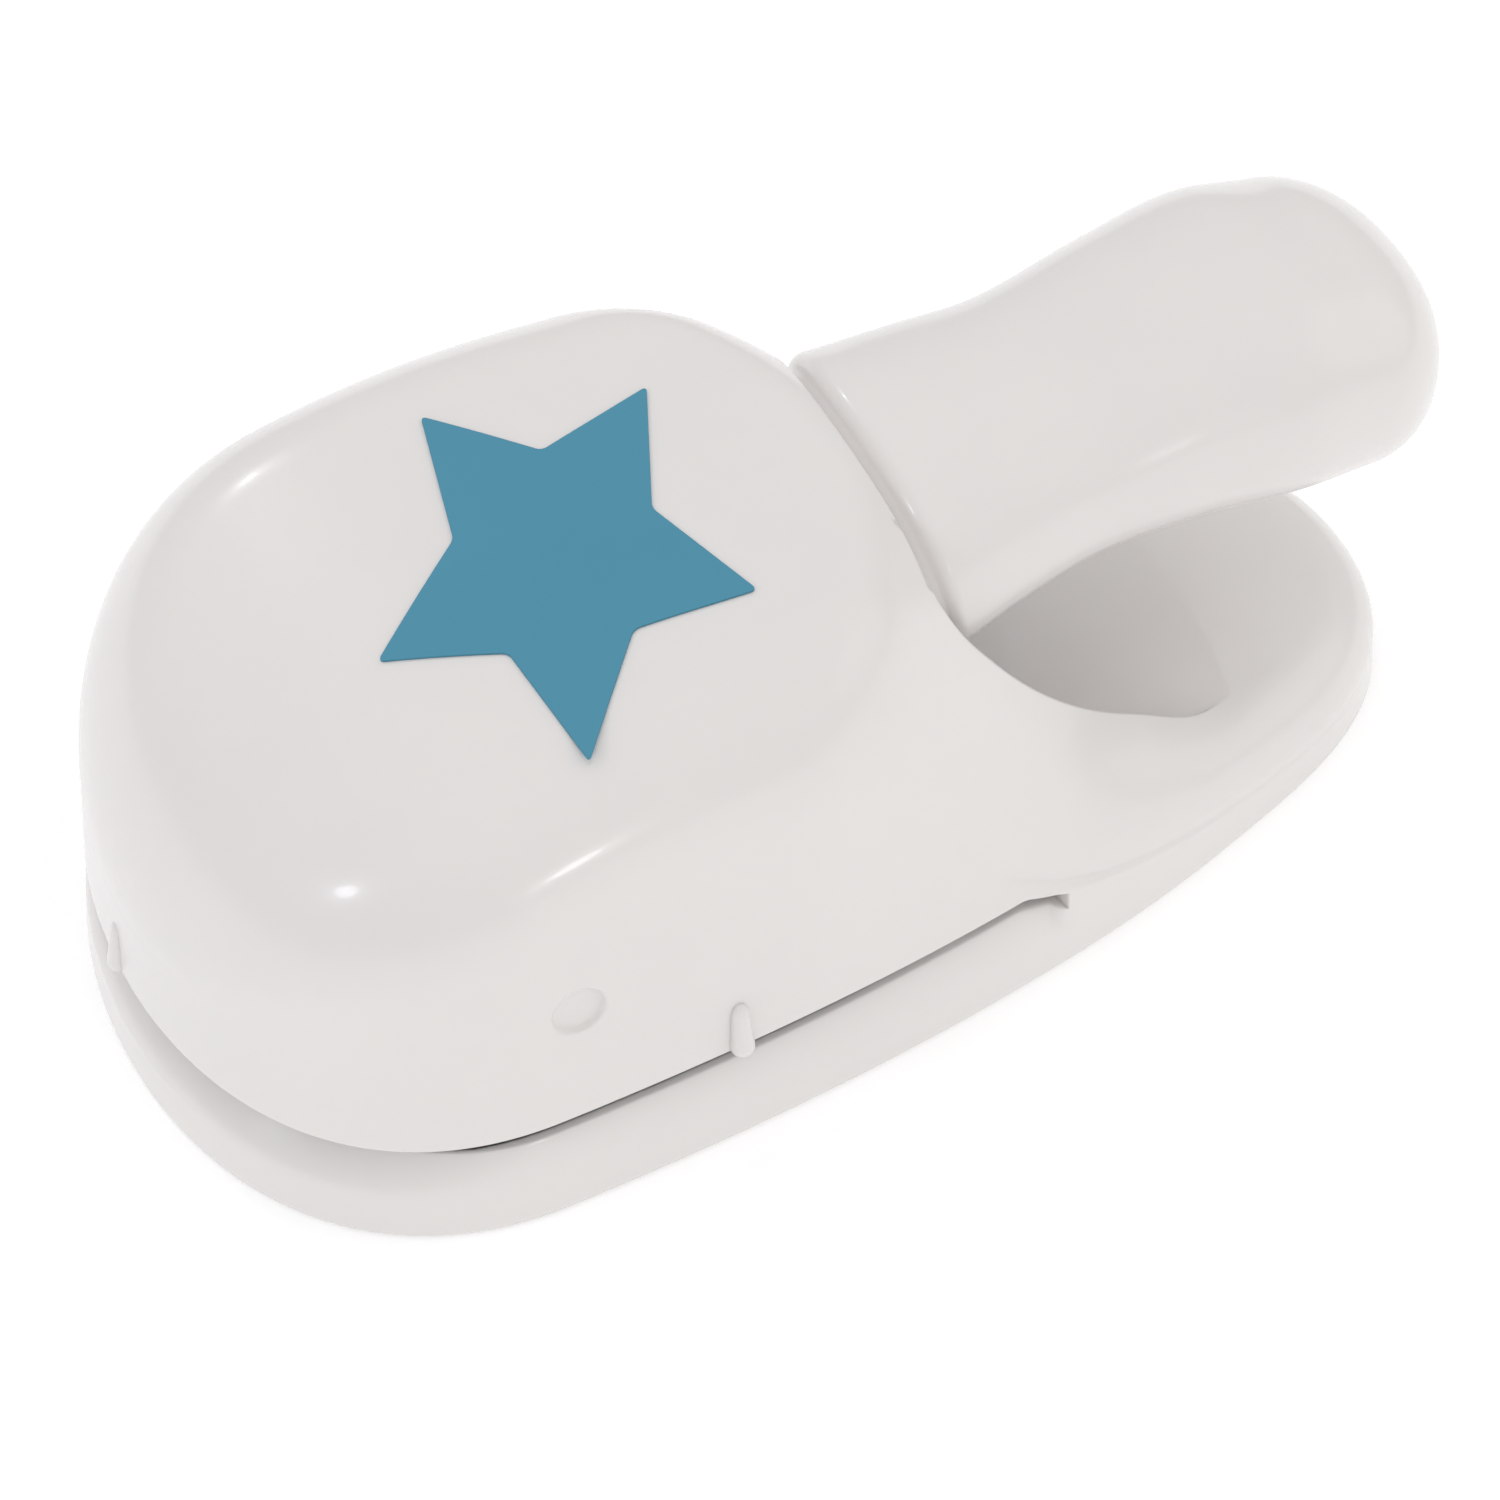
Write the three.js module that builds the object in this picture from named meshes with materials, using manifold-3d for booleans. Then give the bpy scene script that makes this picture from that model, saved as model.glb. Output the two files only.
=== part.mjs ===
// Large lever craft punch that cuts a paper star.
// A white moulded housing holds a steel star punch and die. A lever pivots on an
// axle at the front of the head, passes over the punch and comes out at the rear,
// so pressing its handle down towards the tail drives the punch through the paper.
// Millimetres, +Z up. The nose points to -Y, the handle to +Y, X is across.

import * as THREE from "three";
import { mergeVertices } from "three/addons/utils/BufferGeometryUtils.js";
import Module from "manifold-3d";

const wasm = await Module();
wasm.setup();

// ---------------------------------------------------------------- sizes

// Housing outline, seen from above. The nose is at y = 0.
const bodyLength = 158;
const bodyWidth = 84;
const widestAt = 36; // distance from the nose to the widest place
const taperAt = 123; // distance from the nose to where the tail starts to round off
const taperWidth = 62; // width of the body there
const noseHandle = 21; // how far the nose stays nearly straight, each side
const outlinePoints = 84;

// Housing heights and wall.
const headHeight = 57.8;
const crownEnd = 62; // the top of the head rises from the nose to here
const crownFall = 0.005; // drop of the top towards the nose, per square millimetre
const tailTop = 8.5;
const shoulderStart = 77.5; // where the top of the head begins to fall to the tail
const shoulderRun = 22.2; // length of that fall to its half way height
const shoulderPower = 2.35;
const shoulderBow = 7; // the middle of the head reaches this much further back
const draft = 0.1; // inward lean of the walls per millimetre of height
const headRound = 14; // rounding between wall and top of the head
const noseRoundExtra = 4;
const tailRound = 6.5;
const wall = 2.4;
const sideSkirt = 2.6; // thickness of the lower wall beside the die
const noseSkirt = 5; // and round the nose
const spineFront = 32;
const spineRear = 124;

// Trough in the tail, which takes the handle when it is pressed. Its front is the
// rear face of the head, which leans forward near the top.
const troughHalf = 22;
const troughFront = 91.2;
const troughLeanFrom = 42;
const troughTopFront = 88.2;
const troughFloor = 10.5;
const troughRise = 0.036; // rise of the floor per millimetre towards the tail

// Paper slot.
const slotBottom = 12;
const slotGap = 2;
const slotEnd = 99;
const rampFoot = 6.5; // height where the lead-in ramp leaves the outer wall
const rampTop = 11;
const slotTop = slotBottom + slotGap;

// Centre marks moulded on the head above the slot.
const markWidth = 2.8;
const markHeight = 7;
const markProud = 1.2;

// Star motif, punch and die.
const starRadius = 22;
const starInner = 0.53; // inner corner radius as a share of the tip radius
const dieY = 57;
const dieClearance = 0.05;
const guideClearance = 0.15;
const plateThickness = 2;
const plateFront = 18;
const plateRear = 86;
const stopFront = 77.5;
const punchHeight = 9.4;
const punchLift = 0.6; // the punch face waits this far above the slot
const dieGap = 0.2; // die plate, from the lower wall at the nose
const guideGap = 0.9; // guide plate, from the inner face of the wall

// Motif label on top of the head. It is wider along one diagonal of the head.
const labelRadius = 20.7;
const labelX = 3.5;
const labelY = 54;
const labelThickness = 0.3;
const labelGap = 0.05;
const labelStretch = 1.33;
const labelStretchAngle = -19; // degrees from +X

// Lever.
const pivotY = 39;
const pivotZ = 30;
const axleRadius = 2.5;
const axleClearance = 0.1;
const neckHalf = 14.5;
const grooveGap = 1.1; // between the rear face of the head and the handle
const leverWall = 2.6;
const armGap = 1.4; // between the yoke's arms and the wall of the head
const armThickness = 2.9;
const armBoss = 5.5;
const bossReach = 2; // how far the axle sits in its saddle
const keeperGap = 0.15;
const dimpleDepth = 0.7;
const dimpleRadius = 3;
const yokeBottom = 35;
const yokeThickness = 5;
const pressRadius = 3;
const pressLength = 24;
const contactGap = 0.3;
const openingHalf = 16.5;
const openingBottom = 15.5;
const openingTop = 48;

// Punch carrier, guide posts and return springs.
const postGap = 2.53; // between the tips of the punch and the springs
const postFrontY = 49;
const postRearY = 67;
const postRadius = 2;
const postTop = 28.4;
const postClearance = 0.1;
const sleeveRadius = 3.8;
const carrierThickness = 4.6;
const padThickness = 2;
const springTurns = 4;
const springWire = 0.9;
const springRadius = 3.1; // to the centre of the wire

// Bottom cover.
const coverThickness = 2.2;
const coverGap = 0.4; // bottom cover, from the lower wall at the nose
const chuteWall = 2;
const screwRadius = 1.3;
const screwHeadRadius = 2.7;
const screwHeadHeight = 1.4;
const screwLength = 7;
const bossRadius = 3.4;

// Places that follow from the sizes above.
const guideBottom = slotTop;
const guideTop = guideBottom + plateThickness;
const dieTop = slotBottom;
const dieBottom = dieTop - plateThickness;
const punchBottom = slotTop + punchLift;
const carrierBottom = punchBottom + punchHeight;
const carrierTop = carrierBottom + carrierThickness;
const padTop = carrierTop + padThickness;
const pressZ = padTop + contactGap + pressRadius;
const axleHalf = bodyWidth / 2 - draft * pivotZ - 1.6;
const armOuter = bodyWidth / 2 - draft * (yokeBottom + yokeThickness) - wall - armGap;
const armInner = armOuter - armThickness;
const dieInset = noseSkirt + dieGap;
const coverInset = noseSkirt + coverGap;
const guideInset = wall + draft * guideTop + guideGap;
const postX = starRadius * Math.cos(Math.PI / 10) + springRadius + springWire / 2 + postGap;

// ---------------------------------------------------------------- helpers

/** A closed three.js geometry as a manifold-3d solid. */
function solidFrom(geometry) {
  const plain = (geometry.index ? geometry.toNonIndexed() : geometry).clone();
  const bare = new THREE.BufferGeometry();
  bare.setAttribute("position", plain.getAttribute("position"));
  const merged = mergeVertices(bare, 1e-4);
  const corners = merged.index.array;
  const kept = [];
  for (let i = 0; i < corners.length; i += 3) {
    const [a, b, c] = [corners[i], corners[i + 1], corners[i + 2]];
    if (a !== b && b !== c && a !== c) kept.push(a, b, c);
  }
  const make = (triVerts) =>
    new wasm.Manifold(
      new wasm.Mesh({
        numProp: 3,
        vertProperties: new Float32Array(merged.attributes.position.array),
        triVerts: new Uint32Array(triVerts),
      }),
    );
  const solid = make(kept);
  if (solid.volume() >= 0) return solid;
  for (let i = 0; i < kept.length; i += 3) [kept[i], kept[i + 1]] = [kept[i + 1], kept[i]];
  return make(kept);
}

/** A manifold-3d solid as a three.js geometry. */
function geometryFrom(solid) {
  const mesh = solid.getMesh();
  const positions = new Float32Array(mesh.numVert * 3);
  for (let i = 0; i < mesh.numVert; i++) {
    positions.set(mesh.vertProperties.subarray(i * mesh.numProp, i * mesh.numProp + 3), i * 3);
  }
  const geometry = new THREE.BufferGeometry();
  geometry.setAttribute("position", new THREE.BufferAttribute(positions, 3));
  geometry.setIndex(new THREE.BufferAttribute(new Uint32Array(mesh.triVerts), 1));
  geometry.computeVertexNormals();
  return geometry;
}

/** A box between two corners. */
function block(x0, x1, y0, y1, z0, z1) {
  const box = new THREE.BoxGeometry(x1 - x0, y1 - y0, z1 - z0);
  return solidFrom(box.translate((x0 + x1) / 2, (y0 + y1) / 2, (z0 + z1) / 2));
}

/** An upright rod between two heights. */
function rodZ(x, y, z0, z1, radius, sides = 16) {
  const rod = new THREE.CylinderGeometry(radius, radius, z1 - z0, sides);
  return solidFrom(rod.rotateX(Math.PI / 2).translate(x, y, (z0 + z1) / 2));
}

/** A rod across the body, from x0 to x1. */
function rodX(y, z, x0, x1, radius, sides = 20) {
  const rod = new THREE.CylinderGeometry(radius, radius, x1 - x0, sides);
  return solidFrom(rod.rotateZ(Math.PI / 2).translate((x0 + x1) / 2, y, z));
}

/** A flat shape in plan, pulled up from z0 to z1. */
function plate(shape, z0, z1) {
  const geometry = new THREE.ExtrudeGeometry(shape, { depth: z1 - z0, bevelEnabled: false, curveSegments: 12 });
  return solidFrom(geometry.translate(0, 0, z0));
}

/** A shape drawn in the side view, its x as Y and its y as Z, pulled across from x0 to x1. */
function sidePlate(shape, x0, x1) {
  const geometry = new THREE.ExtrudeGeometry(shape, { depth: x1 - x0, bevelEnabled: false, curveSegments: 12 });
  const turn = new THREE.Matrix4().makeBasis(
    new THREE.Vector3(0, 1, 0),
    new THREE.Vector3(0, 0, 1),
    new THREE.Vector3(1, 0, 0),
  );
  return solidFrom(geometry.applyMatrix4(turn).translate(x0, 0, 0));
}

function shapeOf(points) {
  return new THREE.Shape(points.map(([x, y]) => new THREE.Vector2(x, y)));
}

/** A star with one tip towards the nose, stretched along a direction in degrees from +X. */
function starShape(radius, x, y, stretch = 1, angle = 0) {
  const turn = THREE.MathUtils.degToRad(angle);
  const points = [];
  for (let i = 0; i < 10; i++) {
    const a = -Math.PI / 2 + (i * Math.PI) / 5;
    const r = i % 2 ? radius * starInner : radius;
    const along = r * Math.cos(a - turn) * stretch;
    const across = r * Math.sin(a - turn);
    points.push([
      x + along * Math.cos(turn) - across * Math.sin(turn),
      y + along * Math.sin(turn) + across * Math.cos(turn),
    ]);
  }
  return shapeOf(points);
}

/** The cutting star, grown outwards by a clearance. */
function grownStar(clearance) {
  const tip = new THREE.Vector2(starRadius, 0);
  const notch = new THREE.Vector2(Math.cos(Math.PI / 5), Math.sin(Math.PI / 5)).multiplyScalar(starRadius * starInner);
  const edgeDistance = Math.abs(tip.cross(notch)) / tip.distanceTo(notch);
  return starShape(starRadius * (1 + clearance / edgeDistance), 0, dieY);
}

/** A solid through rings of equal point count, each mirror-symmetric about x = 0. */
function loftRings(rings) {
  const n = rings[0].length;
  const positions = [];
  const triangle = (a, b, c) => positions.push(...a, ...b, ...c);
  for (let k = 0; k + 1 < rings.length; k++) {
    for (let i = 0; i < n; i++) {
      const j = (i + 1) % n;
      triangle(rings[k][i], rings[k][j], rings[k + 1][j]);
      triangle(rings[k][i], rings[k + 1][j], rings[k + 1][i]);
    }
  }
  const cap = (ring, up) => {
    for (let i = 0; i < n / 2; i++) {
      const [a, b, c, d] = [ring[i], ring[i + 1], ring[(n - i - 1) % n], ring[(n - i) % n]];
      if (up) {
        triangle(a, b, c);
        triangle(a, c, d);
      } else {
        triangle(a, c, b);
        triangle(a, d, c);
      }
    }
  };
  cap(rings[0], false);
  cap(rings[rings.length - 1], true);
  const geometry = new THREE.BufferGeometry();
  geometry.setAttribute("position", new THREE.Float32BufferAttribute(positions, 3));
  return solidFrom(geometry);
}

// ---------------------------------------------------------------- housing surface

/** The right half of the housing's outline, from the nose to the end of the tail. */
function halfOutline() {
  const half = bodyWidth / 2;
  const path = new THREE.Path();
  path.moveTo(0, 0);
  path.bezierCurveTo(noseHandle, 0, half, widestAt * 0.3, half, widestAt);
  const midHandle = (taperAt - widestAt) * 0.32;
  const lean = new THREE.Vector2(-8, 25).normalize();
  const taperHalf = taperWidth / 2;
  path.bezierCurveTo(
    half,
    widestAt + midHandle,
    taperHalf - lean.x * midHandle,
    taperAt - lean.y * midHandle,
    taperHalf,
    taperAt,
  );
  const tailHandle = (bodyLength - taperAt) * 0.5;
  path.bezierCurveTo(
    taperHalf + lean.x * tailHandle,
    taperAt + lean.y * tailHandle,
    taperHalf * 0.66,
    bodyLength,
    0,
    bodyLength,
  );
  return path;
}

const outline = (() => {
  const right = halfOutline().getSpacedPoints(outlinePoints / 2);
  const left = right.slice(1, -1).reverse();
  return [...right, ...left.map((p) => new THREE.Vector2(-p.x, p.y))];
})();

/** Height of the housing's top above a place in plan. */
function topHeight(x, y) {
  const bow = shoulderBow * ((x / troughHalf) ** 2 - 1);
  const q = Math.max(0, (y + bow - shoulderStart) / shoulderRun);
  const crown = crownFall * Math.max(0, crownEnd - y) ** 2;
  return tailTop + (headHeight - crown - tailTop) / (1 + q ** shoulderPower);
}

/** Where the outline's point looks to: the line along the middle of the body. */
function spineY(y) {
  return THREE.MathUtils.clamp(y, spineFront, spineRear);
}

/** Solid of the housing's outside, or of that surface moved inwards by inset. */
function bodySolid(inset, bottom) {
  const rings = [];
  const steps = [];
  for (let k = 0; k <= 3; k++) steps.push({ part: "wall", t: k / 3 });
  for (let k = 1; k <= 5; k++) steps.push({ part: "round", t: k / 5 });
  for (let k = 1; k <= 3; k++) steps.push({ part: "top", t: k / 3 });
  for (const step of steps) {
    rings.push(outline.map((b) => surfacePoint(b, step, inset, bottom)));
  }
  return loftRings(rings);
}

function surfacePoint(b, step, inset, bottom) {
  const spine = new THREE.Vector2(0, spineY(b.y));
  const reach = b.distanceTo(spine);
  const inward = spine.clone().sub(b).divideScalar(reach);
  const nominal = topHeight(b.x * 0.7, b.y);
  const share = (nominal - tailTop) / (headHeight - tailTop);
  const nose = Math.max(0, inward.y) * (b.y < spineFront ? 1 : 0);
  const outerRound = tailRound + (headRound - tailRound) * share + noseRoundExtra * nose * nose;
  const round = outerRound - inset * 0.7;
  const wallTop = draft * (nominal - outerRound);
  let along = inset;
  if (step.part === "wall") along += wallTop * step.t;
  const angle = step.part === "round" ? (step.t * Math.PI) / 2 : 0;
  if (step.part === "round") along += wallTop + round * (1 - Math.cos(angle));
  if (step.part === "top") {
    const from = inset + wallTop + round;
    along = from + (reach - 1 - from) * step.t;
  }
  const place = b.clone().addScaledVector(inward, along);
  const top = topHeight(place.x, place.y) - inset;
  let z = top;
  if (step.part === "wall") z = bottom + (top - round - bottom) * step.t;
  if (step.part === "round") z = top - round + round * Math.sin(angle);
  return [place.x, place.y, z];
}

/** A prism of the outline. Each level gives a height and how far its edge is set in. */
function outlinePrism(levels) {
  return loftRings(
    levels.map(([z, insetOf]) =>
      outline.map((b) => {
        const spine = new THREE.Vector2(0, spineY(b.y));
        const inward = spine.sub(b).normalize();
        const place = b.clone().addScaledVector(inward, insetOf(b));
        return [place.x, place.y, z];
      }),
    ),
  );
}

/** The room for the handle above the tail, grown by a margin. */
function troughSolid(grow) {
  const half = troughHalf + grow;
  const floorAt = (y) => troughFloor - grow + troughRise * (y - troughFront);
  const front = troughFront - grow;
  const far = bodyLength + 15;
  const side = shapeOf([
    [front, floorAt(front)],
    [far, floorAt(far)],
    [far, 90],
    [troughTopFront - grow, 90],
    [troughTopFront - grow, headHeight],
    [front, troughLeanFrom],
  ]);
  return sidePlate(side, -half, half);
}

/** A wedge that marks the middle of the die on the outside of the head. */
function centreMark() {
  const profile = shapeOf([
    [markProud, slotTop],
    [-wall / 2, slotTop],
    [-wall / 2, slotTop + markHeight],
    [0, slotTop + markHeight],
  ]);
  return profile;
}

const coverScrewPlaces = {
  front_left: [-20, 13],
  front_right: [20, 13],
  rear_left: [-24, 108],
  rear_right: [24, 108],
  tail: [0, 144],
};
const dieScrewPlaces = { left: [-29.5, 82.3], right: [29.5, 82.3] };

/** Thickness of the lower wall at a place along the body. */
function skirtAt(y) {
  const t = THREE.MathUtils.smoothstep(y, 8, 34);
  return THREE.MathUtils.lerp(noseSkirt, sideSkirt, t);
}

function housing() {
  let shell = bodySolid(0, 0).subtract(troughSolid(0));
  const headRoom = block(-60, 60, -5, 200, slotTop, 90);
  const lowRoom = outlinePrism([
    [-1, (b) => Math.max(skirtAt(b.y), wall)],
    [slotTop + 0.5, (b) => Math.max(skirtAt(b.y), wall)],
  ]);
  const room = bodySolid(wall, -1).intersect(headRoom.add(lowRoom)).subtract(troughSolid(wall));
  shell = shell.subtract(room);

  // Paper slot with its lead-in ramp.
  const slab = block(-60, 60, -20, slotEnd, rampFoot - 1, slotTop);
  const lip = outlinePrism([
    [rampFoot - 3, () => -2],
    [rampFoot, () => 0],
    [rampTop, (b) => skirtAt(b.y)],
    [rampTop + 0.001, (b) => skirtAt(b.y) + 12],
  ]);
  const lipKept = lip.intersect(block(-60, 60, -20, slotEnd, 0, rampTop));
  shell = shell.subtract(slab.subtract(lipKept));

  // Opening for the lever in the rear of the head.
  const opening = new THREE.Shape();
  opening.moveTo(-openingHalf, openingBottom);
  opening.lineTo(openingHalf, openingBottom);
  opening.lineTo(openingHalf, openingTop - 12);
  opening.bezierCurveTo(openingHalf, openingTop - 3, 11, openingTop, 0, openingTop);
  opening.bezierCurveTo(-11, openingTop, -openingHalf, openingTop - 3, -openingHalf, openingTop - 12);
  const openingCut = new THREE.ExtrudeGeometry(opening, { depth: 14, bevelEnabled: false, curveSegments: 6 });
  shell = shell.subtract(solidFrom(openingCut.rotateX(Math.PI / 2).translate(0, troughFront + 4, 0)));

  // Axle holes, screw bosses and centre marks.
  for (const side of [-1, 1]) {
    const face = side * (wallFaceAt(pivotZ) - dimpleDepth);
    const [x0, x1] = side < 0 ? [-60, face] : [face, 60];
    const saddle = block(...xRange(side, axleHalf - bossReach, axleHalf + 4), pivotY - 6, pivotY + 6, guideTop + 4, pivotZ + 6);
    shell = shell.add(saddle.intersect(bodySolid(wall / 2, 0)));
    shell = shell.subtract(rodX(pivotY, pivotZ, x0, x1, dimpleRadius));
    const hole = rodX(pivotY, pivotZ, ...xRange(side, 0, axleHalf + 0.3), axleRadius + axleClearance);
    const way = block(
      ...xRange(side, 0, axleHalf + 0.3),
      pivotY - axleRadius - axleClearance,
      pivotY + axleRadius + axleClearance,
      guideTop - 1,
      pivotZ,
    );
    shell = shell.subtract(hole).subtract(way);
  }
  for (const [name, [x, y]] of Object.entries(coverScrewPlaces)) {
    const front = name.startsWith("front");
    const top = front ? slotBottom - 1 : troughFloor;
    shell = shell.add(rodZ(x, y, coverThickness, top, bossRadius));
    if (front) shell = shell.add(block(x - 1.2, x + 1.2, y - 8, y, coverThickness, top - 3).intersect(bodySolid(1, 0)));
    shell = shell.subtract(rodZ(x, y, 0, coverThickness + screwLength - 1, screwRadius + 0.1));
  }
  for (const [x, y] of Object.values(dieScrewPlaces)) {
    const post = rodZ(x, y, guideTop, guideTop + 16, bossRadius);
    const web = block(Math.min(x, x * 1.6), Math.max(x, x * 1.6), y - 1.2, y + 1.2, guideTop, guideTop + 12);
    shell = shell.add(post.add(web).intersect(bodySolid(wall / 2, 0)));
    shell = shell.subtract(rodZ(x, y, guideTop - 1, guideTop + 8, screwRadius + 0.1));
  }
  const markRoot = draft * (slotTop + markHeight) + wall / 2;
  const frontMark = sidePlate(
    shapeOf([
      [draft * slotTop - markProud, slotTop],
      [markRoot, slotTop],
      [markRoot, slotTop + markHeight],
      [markRoot - wall / 4, slotTop + markHeight],
    ]),
    -markWidth / 2,
    markWidth / 2,
  );
  shell = shell.add(frontMark);
  for (const side of [-1, 1]) {
    const face = wallFaceAt(slotTop) - 0.4;
    const mark = new THREE.ExtrudeGeometry(centreMark(), { depth: markWidth, bevelEnabled: false });
    mark.rotateX(Math.PI / 2).translate(face, dieY + markWidth / 2, 0);
    if (side < 0) mark.rotateZ(Math.PI).translate(0, 2 * dieY, 0);
    shell = shell.add(solidFrom(mark));
  }
  return shell;
}

/** Half width of the housing at a height, near its widest part. */
function wallFaceAt(z) {
  return bodyWidth / 2 - draft * z;
}

/** The two ends of a span across the body, on one side of it. */
function xRange(side, near, far) {
  return side < 0 ? [-far, -near] : [near, far];
}

function motifLabel() {
  const star = starShape(labelRadius, labelX, labelY, labelStretch, labelStretchAngle);
  const skin = bodySolid(-labelGap - labelThickness, 0).subtract(bodySolid(-labelGap, -5));
  return plate(star, headHeight - 15, headHeight + 5).intersect(skin);
}

// ---------------------------------------------------------------- base and die

function bottomCover() {
  let cover = outlinePrism([
    [0, () => coverInset],
    [coverThickness, () => coverInset],
  ]);
  const out = starRadius + 2.5;
  const frame = (grow, z0, z1) => block(-out - grow, out + grow, dieY - out - grow, dieY + out - 3 + grow, z0, z1);
  cover = cover.add(frame(chuteWall, coverThickness, dieBottom));
  cover = cover.subtract(frame(0, -1, dieBottom + 1));
  for (const [x, y] of Object.values(coverScrewPlaces)) {
    cover = cover.subtract(rodZ(x, y, -1, coverThickness + 1, screwRadius + 0.3));
    cover = cover.subtract(rodZ(x, y, -1, screwHeadHeight + 0.1, screwHeadRadius + 0.3));
  }
  for (const [x, y] of Object.values(dieScrewPlaces)) {
    cover = cover.subtract(rodZ(x, y, -1, coverThickness + 1, screwHeadRadius + 0.6));
  }
  return cover;
}

function flatPlate(inset, front, z0, z1, holeClearance, holeRadius) {
  let sheet = outlinePrism([
    [z0, () => inset],
    [z1, () => inset],
  ]).intersect(block(-60, 60, front, plateRear, z0, z1));
  sheet = sheet.subtract(plate(grownStar(holeClearance), z0 - 1, z1 + 1));
  for (const [x, y] of Object.values(dieScrewPlaces)) {
    sheet = sheet.subtract(rodZ(x, y, z0 - 1, z1 + 1, holeRadius));
  }
  return sheet;
}

const diePlate = () => flatPlate(dieInset, plateFront, dieBottom, dieTop, dieClearance, screwRadius + 0.2);
const guidePlate = () =>
  flatPlate(guideInset, plateFront - 4, guideBottom, guideTop, guideClearance, screwRadius + 0.2);

function paperStop() {
  let bar = block(-33, 33, stopFront, plateRear, slotBottom, slotTop);
  for (const [x, y] of Object.values(dieScrewPlaces)) {
    bar = bar.subtract(rodZ(x, y, slotBottom - 1, slotTop + 1, screwRadius + 0.2));
  }
  return bar;
}

/** A screw standing head down, its head from z to z + head height. */
function screw(x, y, z, length) {
  const profile = [
    [0, 0],
    [screwHeadRadius, 0],
    [screwHeadRadius, screwHeadHeight],
    [screwRadius, screwHeadHeight],
    [screwRadius, length - 0.8],
    [0.4, length],
    [0, length],
  ].map(([r, h]) => new THREE.Vector2(r, h));
  const turned = new THREE.LatheGeometry(profile, 12).rotateX(Math.PI / 2);
  return solidFrom(turned.translate(x, y, z));
}

// ---------------------------------------------------------------- moving punch

function punchBlade() {
  return plate(starShape(starRadius, 0, dieY), punchBottom, carrierBottom);
}

const postPlaces = {
  front_left: [-postX, postFrontY],
  front_right: [postX, postFrontY],
  rear_left: [-postX, postRearY],
  rear_right: [postX, postRearY],
};

function punchCarrier() {
  const front = pivotY + axleRadius + 1.6;
  const rear = postRearY + sleeveRadius + 2;
  let carrier = block(-postX, postX, front, rear, carrierBottom, carrierTop);
  for (const [x, y] of Object.values(postPlaces)) {
    carrier = carrier.add(rodZ(x, y, carrierBottom, carrierTop + 1, sleeveRadius, 20));
  }
  for (const [x, y] of Object.values(postPlaces)) {
    carrier = carrier.subtract(rodZ(x, y, carrierBottom - 1, carrierTop + 2, postRadius + postClearance, 20));
  }
  for (const y of punchScrewYs) {
    carrier = carrier.subtract(rodZ(0, y, carrierTop - screwHeadHeight - 0.2, carrierTop + 1, screwHeadRadius + 0.3));
  }
  return carrier;
}

const punchScrewYs = [dieY - 9, dieY + 11];

function wearPad() {
  return block(-pressLength / 2, pressLength / 2, dieY - 4, dieY + 5, carrierTop, padTop);
}

/** The head of a countersunk screw that holds the blade to the carrier. */
function punchScrew(y) {
  return rodZ(0, y, carrierTop - screwHeadHeight - 0.2, carrierTop - 0.1, screwHeadRadius, 14);
}

function guidePost(x, y) {
  return rodZ(x, y, guideTop, postTop, postRadius);
}

/** A compression spring round a guide post, standing on the guide plate. */
function returnSpring(x, y) {
  const z0 = guideTop + springWire / 2 + 0.05;
  const height = carrierBottom - guideTop - springWire - 0.1;
  class Helix extends THREE.Curve {
    getPoint(t, target = new THREE.Vector3()) {
      const a = t * springTurns * 2 * Math.PI;
      return target.set(x + springRadius * Math.cos(a), y + springRadius * Math.sin(a), z0 + height * t);
    }
  }
  const section = new THREE.Shape();
  section.absarc(0, 0, springWire / 2, 0, 2 * Math.PI);
  const geometry = new THREE.ExtrudeGeometry(section, {
    steps: springTurns * 9,
    curveSegments: 3,
    bevelEnabled: false,
    extrudePath: new Helix(),
  });
  return solidFrom(geometry);
}

// ---------------------------------------------------------------- lever

// Centre height, half width and half depth of the handle along its length.
const handleStations = [
  { y: 86, z: 41.8, a: 18.4, c: 12.6 },
  { y: 91, z: 43, a: 19.9, c: 14.2 },
  { y: 96, z: 44.1, a: 19.2, c: 13.6 },
  { y: 103, z: 45.4, a: 18, c: 12.8 },
  { y: 113, z: 46.6, a: 16.9, c: 11.9 },
  { y: 126, z: 48.4, a: 17.8, c: 13.4 },
  { y: 138, z: 48.6, a: 19, c: 15 },
  { y: 147, z: 47.5, a: 18.4, c: 14.4 },
];
const handleEnd = { y: 160.5, z: 45.8 };
const sectionPower = 2.25;
const sectionPoints = 24;

/** One cross section of the handle: a rounded oval, as a ring of points. */
function handleSection(y, z, a, c) {
  const ring = [];
  for (let i = 0; i < sectionPoints; i++) {
    const t = Math.PI / 2 + (i / sectionPoints) * 2 * Math.PI;
    const [co, si] = [Math.cos(t), Math.sin(t)];
    const x = -Math.sign(co) * Math.abs(co) ** (2 / sectionPower) * a;
    ring.push([Math.abs(x) < 1e-9 ? 0 : x, y, z + Math.sign(si) * Math.abs(si) ** (2 / sectionPower) * c]);
  }
  return ring;
}

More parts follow.
